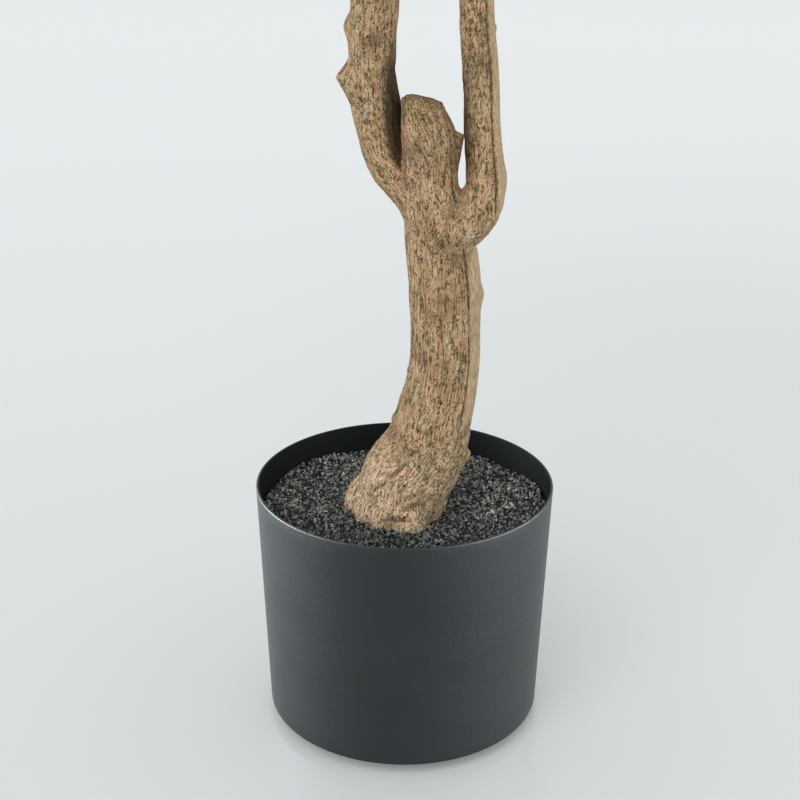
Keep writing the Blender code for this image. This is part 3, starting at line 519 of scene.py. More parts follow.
def bark_finish(settings, name, scale=1.0):
    """Bark: tan fibres with dark slots, green streaks and pinkish patches along the grain.

    The pattern lies on the attribute grain, the limb's own coordinates as a straight log. The
    attribute band is one on the smooth band, where the slots fade. The slots-and-creases attribute
    is one in the slots, whose bark is dark, and in the folds, creases and groove of the relief,
    which are painted dark as painted shade. Knot is one in the middle of a knot, fleck on lichen,
    shade is painted shade deep in the fork with darker patches laid over it, and foot is one on
    the foot, whose bark is painted paler as painted light. Each layer of colour is laid over the
    ones before it.
    """
    finish = Finish(name, specular_ior_level=0.05)
    grain = finish.attribute("grain", "Vector")
    band, slot_and_crease_shade, knot, shade, foot, fleck = (
        finish.attribute(part, "Fac") for part in
        ("band", "slot_and_crease_shade", "knot", "shade", "foot", "fleck"))

    def noise(*cell, **rest):
        """Noise along the grain, larger or finer by the scale."""
        return finish.noise(grain, [side * scale for side in cell], **rest)

    rough = 1 - band * 0.85
    fibre = noise(0.75, 0.75, 5, detail=3.0, roughness=0.65)
    columns = noise(1.1, 1.1, 9, detail=1.0, distortion=0.2)
    breaks = noise(0.85, 0.85, 1.9, roughness=0.6)
    slot = finish.step(columns * 0.8 + breaks, 0.97, 1.05) * rough
    streaks = noise(6, 6, 60, detail=3.0, roughness=0.55, distortion=1.2)
    ridge = finish.node("ShaderNodeMath", {"operation": "ABSOLUTE"}, {0: streaks - 0.5})
    streak = finish.step(ridge, 0.026, 0.006) * rough
    pink = finish.step(noise(3.4, 3.4, 7, detail=3.0), 0.50, 0.62) * rough
    cloud = finish.step(noise(13, 13, 26), 0.42, 0.70)
    speck = finish.step(noise(0.9, 0.9, 1.3, detail=1.0) + fleck * 0.13, 0.64, 0.70) * rough
    glint = speck * (finish.step(noise(9, 9, 14), 0.52, 0.60) + fleck)

    tone = finish.mix(finish.step(fibre, 0.36, 0.66), settings.tan, settings.pale)
    # painted light: the foot's peach tones are paler to make up for its shade
    lit_peach = finish.mix(finish.step(fibre, 0.38, 0.62), *LIT_FOOT_TONES)
    strip = finish.mix(finish.step(fibre, 0.40, 0.60), *STRIP_TONES)
    # layers: the foot is painted paler as painted light; the slots and creases and the fork are
    # painted darker as painted shade
    for amount, layer in (
            (pink * 0.55, settings.pink), (foot * 0.92, lit_peach), (pink * foot * 0.4, LIT_FOOT_PINK),
            (cloud * 0.42, shaded(settings.tan, 0.55)), (band * 0.6, strip),
            (streak * 0.75, settings.green), (knot * 0.75, KNOT_TONE),
            (slot * 0.86, settings.dark), (slot_and_crease_shade * 0.66, settings.dark),
            (glint * 0.8, LICHEN_TONE), (shade * 0.88, PAINTED_SHADE_TONE)):
        tone = finish.mix(amount, tone, layer)
    finish.feed(base_color=tone, roughness=0.82 - glint * 0.35)
    finish.bump(fibre * 0.35 - slot * 0.7 - streak * 0.3 + breaks * 0.2, 0.6 * MM * scale)
    return finish.material


def twig_finish():
    """Thin twigs: brown, greener in places."""
    finish = Finish("twig_skin", roughness=0.62)
    place = finish.place()
    fine = finish.noise(place, (1.2, 1.2, 4))
    tone = finish.mix(finish.step(finish.noise(place, (30, 30, 30)), 0.35, 0.65), *TWIG_TONES)
    finish.feed(base_color=finish.mix(finish.step(fine, 0.5, 0.75) * 0.5, tone, TWIG_PALE))
    finish.bump(fine, 0.2 * MM)
    return finish.material


def leaf_finish(name, tint):
    """Leaf cloth: one plain tint under a faint waxy bloom."""
    finish = Finish(name)
    place = finish.place()
    bloom = finish.noise(place, (11, 11, 11), detail=3.0)
    finish.feed(base_color=finish.mix(finish.step(bloom, 0.38, 0.66) * 0.55, tint,
                                      shaded(tint, 1.22, 0.012)),
                roughness=0.46 + bloom * 0.14)
    finish.bump(finish.noise(place, (0.8, 0.8, 0.8)), 0.05 * MM)
    return finish.material


def paper_finish(settings):
    """Smooth paper of the floor, with a faint glow of its own that softens the shadows.

    The glow fades with distance, so that the floor meets the sky nearly without an edge.
    """
    finish = Finish("studio_paper", roughness=0.2, specular_ior_level=0.5,
                    emission_strength=settings.glow)
    place = finish.place()
    distance = finish.node("ShaderNodeVectorMath", {"operation": "LENGTH"}, {0: place}, "Value")
    glow = finish.mix(finish.step(distance, *GLOW_FADE) * GLOW_LOSS, settings.sky, (0, 0, 0))
    tone = finish.noise(place, (900, 900, 900), detail=1.0)
    finish.feed(base_color=finish.mix(tone * 0.2, settings.paper, shaded(settings.paper, 0.97)),
                emission_color=glow)
    return finish.material

# ---------------------------------------------------------------- meshes

def put_piece(name, points, faces, material, replaced=(), smooth=True):
    """Make a piece of the points and of arrays of triangles or quads, and ride it on the body."""
    mesh = bpy.data.meshes.new(name)
    corners = np.concatenate([block.ravel() for block in faces])
    sides = np.concatenate([np.full(len(block), block.shape[1]) for block in faces])
    starts = np.concatenate(([0], np.cumsum(sides)[:-1]))
    mesh.vertices.add(len(points))
    mesh.vertices.foreach_set("co", np.asarray(points, np.float32).ravel())
    mesh.loops.add(len(corners))
    mesh.loops.foreach_set("vertex_index", corners.astype(np.int32))
    mesh.polygons.add(len(sides))
    mesh.polygons.foreach_set("loop_start", starts.astype(np.int32))
    mesh.polygons.foreach_set("use_smooth", np.full(len(sides), smooth))
    mesh.update(calc_edges=True)
    mesh.materials.append(material)
    piece = bpy.data.objects.new(name, mesh)
    bpy.context.scene.collection.objects.link(piece)
    if replaced:
        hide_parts(*replaced)
    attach(piece, BODY)
    return piece


def give_attribute(piece, name, values):
    """Store one number or one vector at each vertex."""
    kind, field = ("FLOAT", "value") if values.ndim == 1 else ("FLOAT_VECTOR", "vector")
    layer = piece.data.attributes.new(name, kind, "POINT")
    layer.data.foreach_set(field, values.astype(np.float32).ravel())


def ring_faces(rings, columns):
    """Quads between neighbouring rings of vertices, each ring closed on itself."""
    ring, column = np.meshgrid(np.arange(rings - 1), np.arange(columns), indexing="ij")
    low = ring * columns
    following = (column + 1) % columns
    return np.stack((low + column, low + following, low + columns + following,
                     low + columns + column), axis=-1).reshape(-1, 4)


def cap_faces(ring_start, columns, pole, upwards):
    """Triangles from one ring to its pole."""
    column = np.arange(columns)
    following = (column + 1) % columns
    fan = (ring_start + column, ring_start + following, np.full(columns, pole))
    return np.stack(fan if upwards else (fan[1], fan[0], fan[2]), axis=-1)


def turned_surface(profile, columns):
    """Profile points (radius, height) turned about the Z axis; both ends lie on the axis."""
    angle = np.arange(columns) * math.tau / columns
    inner = profile[1:-1]
    rings = np.empty((len(inner), columns, 3))
    rings[..., 0] = inner[:, :1] * np.cos(angle)
    rings[..., 1] = inner[:, :1] * np.sin(angle)
    rings[..., 2] = inner[:, 1:]
    points = np.concatenate((rings.reshape(-1, 3), [(0, 0, profile[0, 1])],
                             [(0, 0, profile[-1, 1])]))
    count = len(inner) * columns
    faces = [ring_faces(len(inner), columns), cap_faces(0, columns, count, False),
             cap_faces(count - columns, columns, count + 1, True)]
    return points, faces


# ---------------------------------------------------------------- noise and curves

def cell_values(cells, seed):
    """A fixed random number from -1 to 1 for each cell of whole coordinates."""
    mixed = cells[:, 0] * 73856093 ^ cells[:, 1] * 19349663 ^ cells[:, 2] * 83492791
    mixed = (mixed ^ (seed * 2654435761)) & 0xFFFFFFFF
    mixed = ((mixed ^ (mixed >> 15)) * 2246822519) & 0xFFFFFFFF
    mixed = ((mixed ^ (mixed >> 13)) * 3266489917) & 0xFFFFFFFF
    return (mixed ^ (mixed >> 16)) / 0x7FFFFFFF - 1


def soft_noise(points, cell, seed):
    """Noise from -1 to 1: random values on the corners of cells, eased between them.

    The cell's sides are in millimetres.
    """
    scaled = points / (np.asarray(cell) * MM)
    corner = np.floor(scaled).astype(np.int64)
    part = scaled - corner
    ease = part * part * (3 - 2 * part)
    total = np.zeros(len(points))
    for offset in itertools.product((0, 1), repeat=3):
        weight = np.prod(np.where(offset, ease, 1 - ease), axis=1)
        total += weight * cell_values(corner + np.array(offset), seed)
    return total


def smooth_step(value, low, high):
    """Ease from nothing at low to one at high."""
    part = np.clip((value - low) / (high - low), 0, 1)
    return part * part * (3 - 2 * part)


def unit(vectors):
    """The vectors at length one."""
    return vectors / np.maximum(np.linalg.norm(vectors, axis=-1, keepdims=True), 1e-12)


def smooth_route(stations, step):
    """A Catmull-Rom curve through the stations, read at an even step along its length.

    Between two stations it is a cubic whose slope at each is half the way from the station
    before to the one after. A station is x, y, z and radius, in metres.
    """
    padded = np.vstack((2 * stations[0] - stations[1], stations, 2 * stations[-1] - stations[-2]))
    place = np.linspace(0, len(stations) - 1, 24 * len(stations))
    index = np.minimum(place.astype(int), len(stations) - 2)
    part = (place - index)[:, None]
    before, start, end, after = (padded[index + shift] for shift in range(4))
    curve = 0.5 * (2 * start + (end - before) * part
                   + (2 * before - 5 * start + 4 * end - after) * part ** 2
                   + (3 * start - before - 3 * end + after) * part ** 3)
    travelled = np.concatenate(([0], np.cumsum(np.linalg.norm(np.diff(curve[:, :3], axis=0),
                                                              axis=1))))
    count = max(3, round(travelled[-1] / step) + 1)
    wanted = np.linspace(0, travelled[-1], count)
    return np.stack([np.interp(wanted, travelled, column) for column in curve.T], axis=-1)


def rounded_end(stations, height=1.0):
    """Add a dome to the route's end: a quarter ellipse on the end's radius.

    The height of the dome is a share of that radius.
    """
    way = unit(stations[-1, :3] - stations[-2, :3])
    angle = np.linspace(0, math.pi / 2, DOME_RINGS + 2)[1:-1, None]
    radius = stations[-1, 3]
    dome = np.hstack((stations[-1, :3] + way * radius * height * np.sin(angle),
                      radius * np.cos(angle)))
    return np.vstack((stations, dome))


def tube_grid(stations, columns, guide):
    """Rings of points round a route, square to it; guide is a direction that it never takes.

    Returns the rings and, for each point, the same log laid straight: x and y round its axis,
    z the way along it.
    """
    centre = stations[:, :3]
    radius = stations[:, 3, None]
    way = unit(np.gradient(centre, axis=0))
    first = unit(np.cross(guide, way))
    second = np.cross(way, first)
    angle = np.arange(columns) * math.tau / columns
    across, deep = np.cos(angle), np.sin(angle)
    rings = (centre[:, None] + radius[:, None] * (across[None, :, None] * first[:, None]
                                                  + deep[None, :, None] * second[:, None]))
    travelled = np.concatenate(([0], np.cumsum(np.linalg.norm(np.diff(centre, axis=0), axis=1))))
    log = np.empty_like(rings)
    log[..., 0] = radius * across
    log[..., 1] = radius * deep
    log[..., 2] = travelled[:, None]
    return rings, log


def tube_faces(rings, columns):
    """Faces of one closed tube: quads, and a fan to a pole at either end."""
    count = rings * columns
    return [ring_faces(rings, columns), cap_faces(0, columns, count, False),
            cap_faces(count - columns, columns, count + 1, True)]


def copied_faces(faces, copies, size):
    """The faces of one shape for all its copies, whose points follow one another."""
    shift = np.arange(copies)[:, None, None] * size
    return [(block[None] + shift).reshape(-1, block.shape[1]) for block in faces]


def nodes_named(start):
    """The solids' nodes whose names start so, in order."""
    return sorted(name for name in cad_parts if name.startswith(start))


def in_metres(table):
    """A table of millimetres as an array of metres."""
    return np.array(table, float) * MM


# ---------------------------------------------------------------- wood as a field

class Rods:
    """Chains of tapered rods, and the field of distances to their common skin."""

    def __init__(self, *chains):
        self.starts = np.vstack([chain[:-1] for chain in chains])
        self.ends = np.vstack([chain[1:] for chain in chains])

    def nearest(self, points):
        """Distance to the nearest rod's skin, negative inside, and the way out from its axis."""
        best = np.full(len(points), np.inf)
        outward = np.zeros_like(points)
        for start, end in zip(self.starts, self.ends):
            along = end[:3] - start[:3]
            part = np.clip((points - start[:3]) @ along / (along @ along), 0, 1)
            offset = points - start[:3] - part[:, None] * along
            reach = np.linalg.norm(offset, axis=1)
            distance = reach - start[3] - part * (end[3] - start[3])
            closer = distance < best
            best[closer] = distance[closer]
            outward[closer] = offset[closer] / np.maximum(reach[closer, None], 1e-9)
        return best, outward


def fillet(points):
    """Width of the smooth fillet between two limbs: wide in the fork, narrow elsewhere."""
    fork = smooth_step(points[:, 2], *FORK_TOP) * smooth_step(points[:, 2], *FORK_BOTTOM)
    return (FILLET + (FORK_FILLET - FILLET) * fork) * MM


def melt(points, own, others):
    """Move the points of one limb onto the smooth common skin of all limbs.

    The field is the smooth minimum of the distances to the limb itself and to the others: where
    they differ by less than a width k, it is lower by (k - difference) squared over 4 k. Each
    pass moves a point along the field's slope by the field's value. A point that starts deep
    inside another limb stays there. Returns the points, their outward directions and how near
    each point is to another limb that it doesn't touch, from nothing to one.
    """
    depth, _ = others.nearest(points)
    freedom = smooth_step(depth, *MELT_DEPTH)[:, None]
    freedom = freedom * smooth_step(points[:, 2:], *MELT_TOP)
    for _ in range(MELT_PASSES):
        first, first_way = own.nearest(points)
        second, second_way = others.nearest(points)
        width = fillet(points)
        overlap = np.maximum(width - np.abs(first - second), 0)
        field = np.minimum(first, second) - overlap ** 2 / (4 * width)
        blend = np.clip(0.5 + (second - first) / (2 * width), 0, 1)[:, None]
        way = unit(first_way * blend + second_way * (1 - blend))
        points = points - way * field[:, None] * freedom
    # painted shade: the bark is darkened where a limb faces a near neighbour in the fork
    facing = np.clip(-np.sum(way * second_way, axis=1), 0, 1)
    gap = np.exp(-(np.maximum(second, 0) / SHADE_REACH) ** 2) * facing ** 0.4
    return points, way, gap * smooth_step(points[:, 2], *SHADE_START)


def root_chains():
    """The roots that flare from the trunk's foot, down and out to the soil."""
    chains = []
    for degrees, reach in ROOTS:
        angle = math.radians(degrees)
        out = np.array((math.cos(angle), math.sin(angle), 0)) * (reach - ROOT_RADIUS)
        stations = []
        for far, lean, height in ROOT_STATIONS:
            place = np.array((*ROOT_FOOT, height + SOIL_BOX[1].z / MM)) + out * far
            place[:2] += np.array(ROOT_LEAN) * lean
            stations.append((*place, ROOT_RADIUS))
        chains.append(smooth_route(in_metres(stations), 6 * MM))
    return chains


@functools.cache
def wood_routes():
    """Trunk and limbs as smooth routes at a fine step."""
    return {
        "trunk": smooth_route(in_metres(TRUNK_ROUTE), 0.8 * MM),
        "left": smooth_route(in_metres(LEFT_LIMB_ROUTE), 1.0 * MM),
        "right": smooth_route(in_metres(RIGHT_LIMB_ROUTE), 1.0 * MM),
    }


def thinned(route, step):
    """Every so many stations of a route, and its last one."""
    return np.vstack((route[:-1:step], route[-1:]))


def low_part(route):
    """The part of a limb that stands near the fork."""
    return thinned(route[route[:, 2] < FORK_REACH], 5)


def bark_relief(points, log, band, settings):
    """Height of the bark over the smooth skin, and where it is dented, from nothing to one; the
    slots are the bark's own dark slots, and the furrows and low wrinkles are painted shade.

    Broad lumps are noise on the place itself. Furrows are the creases of noise drawn out along
    the log, and slots are where noise in narrow columns and noise that breaks them are both
    high. The foot has level wrinkles instead of furrows.
    """
    foot = smooth_step(points[:, 2], *FOOT_WRINKLES)
    rough = 1 - 0.9 * band
    lumps = soft_noise(points, (24, 24, 40), 3) + 0.55 * soft_noise(points, (9, 9, 13), 5)
    crease = 1 - np.abs(soft_noise(log, (4.2, 4.2, 32), 11)) * 2.4
    columns = soft_noise(log, (1.6, 1.6, 17), 13)
    breaks = soft_noise(log, (1.4, 1.4, 2.8), 17)
    slots = smooth_step(columns * 0.9 + breaks, 0.55, 1.0) * rough
    wrinkles = soft_noise(points, (9, 9, 3.6), 19) + 0.6 * soft_noise(points, (3.6, 3.6, 2.2), 23)
    quiet = 0.12 + 0.88 * smooth_step(points[:, 2], *FOOT_QUIET)
    furrows = np.clip(crease, 0, 1) * rough * (1 - 0.6 * foot) * quiet
    height = settings.lump * lumps * (1 - 0.5 * band)
    height -= settings.furrow * furrows + settings.slot * slots * (1 - 0.3 * foot) * quiet
    grains = soft_noise(points, (1.9, 1.9, 2.2), 29)
    height += settings.furrow * (1.2 * wrinkles + 0.7 * grains) * foot * rough * quiet
    # painted shade: the furrows and the wrinkles' low places are darkened in the bark's colour
    low = (smooth_step(-wrinkles, 0.35, 1.1) + smooth_step(-grains, 0.35, 0.75)) * foot * rough
    return height, np.clip(slots * (1 - 0.4 * foot) + 0.30 * furrows ** 2 + 0.38 * low, 0, 1)


def spur_relief(points, way, spurs):
    """Height of the spurs: each a cone on an oval skirt, hollowed by a power, or a round bump.

    A point's way from the tip is laid on the skin, square to the tip's own outward direction.
    Its upright part counts over the skirt's reach up or down, and the rest over the skirt's
    half width.
    """
    height = np.zeros(len(points))
    for tip, lift, above, below, beside in spurs:
        offset = points - np.array(tip) * MM
        outward = way[np.argmin(np.sum(offset ** 2, axis=1))]
        out = offset @ outward
        flat = offset - out[:, None] * outward
        upright = flat[:, 2] / np.where(flat[:, 2] > 0, above * MM, below * MM)
        level = np.hypot(flat[:, 0], flat[:, 1]) / (beside * MM)
        near = np.clip(1 - np.hypot(upright, level), 0, 1)
        shape = near ** SPUR_POINT if lift > THORN else smooth_step(near, 0, 1)
        height = np.maximum(height, lift * MM * shape * (out > -(lift + 10) * MM))
    return height


def knot_relief(points):
    """Height of the knots, a raised ring round a hole, and how far inside one each point is."""
    height, inside = np.zeros(len(points)), np.zeros(len(points))
    for place, radius in KNOTS:
        far = np.linalg.norm(points - np.array(place) * MM, axis=1) / (radius * MM)
        small = radius < 3
        height += (0.5 * np.exp(-((far - 1) / 0.35) ** 2)
                   - (0.9 if small else 0.35) * np.exp(-(far / 0.6) ** 2)) * MM
        inside = np.maximum(inside, (1.0 if small else 0.4) * np.exp(-(far / 0.8) ** 2))
    return height, inside


def spots(points, places):
    """How strongly the places with a middle, a reach and a strength touch each point.

    A place's strength falls off as exp(-(distance over reach) squared).
    """
    most = np.zeros(len(points))
    for middle, reach, strength in places:
        far = np.linalg.norm(points - np.array(middle) * MM, axis=1) / (reach * MM)
        most = np.maximum(most, strength * np.exp(-far ** 2))
    return most


def ridge_relief(points):
    """Height of the ridges, with a crease below each, and where the creases are, which the bark
    paints dark as painted shade.

    A ridge is a bell over the distance to its line, and its crease a bell over the height
    below the line.
    """
    height, dark = np.zeros(len(points)), np.zeros(len(points))
    for line, lift, depth in RIDGES:
        stations = np.hstack((np.array(line, dtype=float), np.zeros((len(line), 1)))) * MM
        far, way = Rods(stations).nearest(points)
        above = far * way[:, 2] / MM
        near = smooth_step(far / MM, 7, 3)
        height += lift * MM * np.exp(-(far / (RIDGE_WIDTH * MM)) ** 2)
        low = near * np.exp(-((above + 1.5 * RIDGE_WIDTH) / 1.6) ** 2)
        height -= 0.6 * depth * MM * low
        dark = np.maximum(dark, depth * low)
    return height, dark


def fold_relief(points):
    """Height of the foot's folds, a lip over a crease, and where the creases are, which the bark
    paints dark as painted shade.
    """
    height, crease = np.zeros(len(points)), np.zeros(len(points))
    middle = np.array(ROOT_FOOT) * MM
    angle = np.arctan2(points[:, 1] - middle[1], points[:, 0] - middle[0])
    for level, slope, degrees, span, lift in FOLDS:
        turn = (angle - math.radians(degrees) + math.pi) % math.tau - math.pi
        window = smooth_step(np.abs(turn), math.radians(span), math.radians(span) * 0.4)
        above = points[:, 2] - (level + slope * FOLD_ARC * turn) * MM
        height += lift * MM * window * np.exp(-(above / (1.7 * MM)) ** 2)
        low = window * np.exp(-((above + 3.4 * MM) / (1.5 * MM)) ** 2)
        height -= 0.7 * lift * MM * low
        crease = np.maximum(crease, low)
    return height, crease


def band_mask(points, log, low_edges, high, start, above):
    """One on the smooth band between two angles round the log, and the groove at its edge.

    The band's front edge turns from the first angle below the fork to the second above it. The
    band comes in above the height start, and above the fork it keeps the share above.
    """
    strength = smooth_step(points[:, 2], start, start + GRAIN_RISE)
    angle = np.arctan2(log[:, 1], log[:, 0])
    radius = np.hypot(log[:, 0], log[:, 1])
    turned = smooth_step(points[:, 2], *BAND_TURN)
    low = low_edges[0] + (low_edges[1] - low_edges[0]) * turned
    edge = 1.0 * MM / np.maximum(radius, MM)
    band = smooth_step(angle, low, low + edge) * smooth_step(angle, high, high - 6 * edge)
    groove = np.exp(-((angle - low) * radius / (0.8 * MM)) ** 2)
    kept = 1 - (1 - above) * smooth_step(points[:, 2], *BAND_LOSS)
    return band * strength * kept, groove * strength


def upright_grain(points, log, height):
    """Let the grain of a limb stand upright below a height, as the trunk's does.

    There the log's coordinates become the place itself, moved so that they meet the limb's own
    at that height.
    """
    near = np.abs(points[:, 2] - height) < 1.5 * MM
    shift = (log[near] - points[near]).mean(axis=0)
    part = smooth_step(points[:, 2:], height, height - GRAIN_RISE)
    return log * (1 - part) + (points + shift) * part


def bark_piece(name, stations, columns, own, others, settings, material, replaced, band=None,
               shape=None, upright=None, twist=0.0):
    """One limb's bark: a tube melted into its neighbours, then raised by the bark's relief."""
    rings, log = tube_grid(stations, columns, FRONT)
    poles = np.vstack((stations[0, :3], stations[-1, :3]))
    points = np.vstack((rings.reshape(-1, 3), poles))
    log = np.vstack((log.reshape(-1, 3), (0, 0, log[0, 0, 2]), (0, 0, log[-1, 0, 2])))
    points, way, shade = melt(points, own, others)
    log[:, 2] -= FOOT_SQUEEZE * np.maximum(FOOT_RISE[0] - points[:, 2], 0)
    log[:, 2] += FORK_SQUEEZE * np.maximum(points[:, 2] - FORK_START, 0)
    if upright:
        log = upright_grain(points, log, upright)
    limb = name.split("_")[0]
    smooth, groove = band_mask(points, log, *band) if band else (np.zeros(len(points)),) * 2
    smooth = np.maximum(smooth, spots(points, CALMS))
    fade = 1 - smooth_step(points[:, 2], *RELIEF_FADE)
    relief, slot_and_crease_shade = bark_relief(points, log, smooth, settings)
    hollow, knot = knot_relief(points)
    fold, crease = fold_relief(points)
    ridge, under = ridge_relief(points)
    spur = spur_relief(points, way, SPURS[limb])
    height = relief * (0.35 + 0.65 * fade) + hollow + fold + ridge + spur
    height -= settings.groove * groove
    points = points + way * height[:, None]
    if shape:
        points = shape(points)
    piece = put_piece(name, points, tube_faces(len(stations), columns), material, replaced)
    give_attribute(piece, "grain", twisted(log, points, twist))
    give_attribute(piece, "band", np.maximum(smooth - groove, 0))
    # the bark's dark slots, and painted shade in the folds' creases, the groove and under the
    # ridges
    give_attribute(piece, "slot_and_crease_shade", np.clip(np.maximum(slot_and_crease_shade, crease) + groove + under, 0, 1))
    give_attribute(piece, "knot", knot)
    give_attribute(piece, "fleck", spots(points, FLECKS))
    # painted light: where the foot's bark is painted paler
    give_attribute(piece, "foot", smooth_step(points[:, 2], *FOOT_RISE))
    # painted shade: the fork's shade, as much of it as each limb takes
    shade = np.minimum(shade * SHADES[limb], 1)
    # painted shade: the darker patches are laid over the fork's shade
    give_attribute(piece, "shade", np.maximum(shade, spots(points, DARK_PATCHES)))
    return piece


def twisted(log, points, twist):
    """The log's coordinates, turned about its axis with height on the stub: its grain winds."""
    turn = twist * np.clip(points[:, 2] / MM - STUB_START, 0, STUB_LENGTH)
    return np.stack((log[:, 0] * np.cos(turn) - log[:, 1] * np.sin(turn),
                     log[:, 0] * np.sin(turn) + log[:, 1] * np.cos(turn), log[:, 2]), axis=-1)


# ---------------------------------------------------------------- the crown's plan

def height_on(route, height):
    """Place and radius of a limb at a height."""
    return np.array([np.interp(height, route[:, 2], column) for column in route.T])


def ring_middles():
    """Middles of the masses of foliage, those at the limbs' tips first."""
    middles = [np.array(place) * MM for _, place in TIP_MASSES]
    for count, height, radius, turn in RINGS:
        for index in range(count):
            angle = math.radians(turn + 360 * index / count)
            middles.append(np.array((radius * math.cos(angle), radius * math.sin(angle),
                                     height)) * MM)
    return middles


def bough_route(limb, middle):
    """A bough from its limb out to a mass: a cubic Bezier curve with an even taper."""
    beside = height_on(limb, min(middle[2], BOUGH_HIGHEST))
    out = math.hypot(*(middle - beside[:3])[:2])
    fork = min(max(middle[2] - BOUGH_STEEPNESS * out, BOUGH_LOWEST), BOUGH_HIGHEST)
    start = height_on(limb, fork)
    along = (middle - start[:3]) * BOUGH_REACH
    lift = np.array((0, 0, BOUGH_LIFT * np.linalg.norm(along)))
    inner = [start[:3] + along * far + lift * raised for far, raised in BOUGH_BEND]
    part = np.linspace(0, 1, 60)[:, None]
    rest = 1 - part
    places = (start[:3] * rest ** 3 + inner[0] * 3 * rest ** 2 * part
              + inner[1] * 3 * rest * part ** 2 + (start[:3] + along) * part ** 3)
    root = min(BOUGH_THICKNESS * start[3], BOUGH_ROOT_LIMIT)
    return np.hstack((places, root + (BOUGH_TIP_RADIUS - root) * part))


@functools.cache
def carriers():
    """The middle of each mass and the route of what carries it."""
    limbs = wood_routes()
    middles = ring_middles()
    routes = [limbs[side] for side, _ in TIP_MASSES]
    for middle in middles[len(TIP_MASSES):]:
        choices = [bough_route(limbs[side], middle) for side in ("left", "right")]
        routes.append(min(choices, key=lambda route: np.linalg.norm(route[0, :3] - middle)))
    return middles, routes


class Space:
    """What is nearer to a mass's middle than to the others, inside the crown and its box."""

    def __init__(self, index, middles, rods):
        self.middle = middles[index]
        others = np.array(middles[:index] + middles[index + 1:])
        self.ways = unit(others - self.middle)
        self.borders = np.sum((others + self.middle) / 2 * self.ways, axis=1)
        self.rods = rods
        self.low = np.array(SOLIDS_BOX[0]) - TWIG_OVERHANG
        self.high = np.array(SOLIDS_BOX[1]) + TWIG_OVERHANG

    def holds(self, points, margin):
        """Tell for each point if a ball round it lies inside."""
        points = np.atleast_2d(points)
        inside = np.sum(((points - CROWN_MIDDLE) / (CROWN_REACH - margin)) ** 2, axis=1) < 1
        inside &= np.all((points > self.low) & (points < self.high), axis=1)
        return inside & np.all(points @ self.ways.T < self.borders - margin, axis=1)

    def free(self, points, margin):
        """Tell for each point if it also lies clear of every limb and bough."""
        distance, _ = self.rods.nearest(np.atleast_2d(points))
        return self.holds(points, margin) & (distance > margin)


def aside(way, angle):
    """A direction square to the way, turned round it by the angle."""
    level = np.cross(way, (0, 0, 1))
    if np.linalg.norm(level) < 0.05:
        level = np.cross(way, (1, 0, 0))
    level = unit(level)
    return level * math.cos(angle) + np.cross(way, level) * math.sin(angle)


def stem_path(tip, way, space, draw):
    """Places along a mass's stem, from its bough's tip to the edge of its space."""
    part = (space.middle[2] - CROWN_MIDDLE[2] + CROWN_REACH[2]) / (2 * CROWN_REACH[2])
    pitch = math.radians(STEM_PITCH[0] + (STEM_PITCH[1] - STEM_PITCH[0]) * part)
    out = unit(space.middle * (1, 1, 0))
    goal = out * math.cos(pitch) + np.array((0, 0, math.sin(pitch)))
    path = [tip - way * 2 * MM, tip + way * 10 * MM]
    for station in range(1, STEM_STEPS + 1):
        turned = STEM_FIRST_TURN + (1 - STEM_FIRST_TURN) * station / STEM_STEPS
        sway = np.array([draw.uniform(-1, 1) for _ in range(3)])
        heading = unit(way * (1 - turned) + goal * turned + sway * STEM_SWAY)
        following = path[-1] + heading * STEM_STEP
        if not space.holds(following, CLEARANCE)[0]:
            break
        path.append(following)
    return np.array(path)


def along_path(path, distance):
    """Place and direction at a distance along a path."""
    steps = np.linalg.norm(np.diff(path, axis=0), axis=1)
    for start, end, step in zip(path, path[1:], steps):
        if distance <= step:
            return start + (end - start) * distance / step, (end - start) / step
        distance -= step
    return path[-1], unit(path[-1] - path[-2])


def path_length(path):
    """Length of a path."""
    return float(np.sum(np.linalg.norm(np.diff(path, axis=0), axis=1)))


def twig_path(root, way, reach, rise, space, shortest):
    """The longest twig of this direction that stays in its space, bending upwards, or None."""
    part = np.linspace(0, 1, 8)[:, None]
    while reach > shortest:
        bent = unit(way + np.array((0, 0, rise)) * part)
        steps = bent * reach / (len(part) - 1)
        path = root + np.vstack((np.zeros(3), np.cumsum(steps[:-1], axis=0)))
        if np.all(space.free(path[3:], CLEARANCE)):
            return path
        reach *= TWIG_SHRINK
    return None


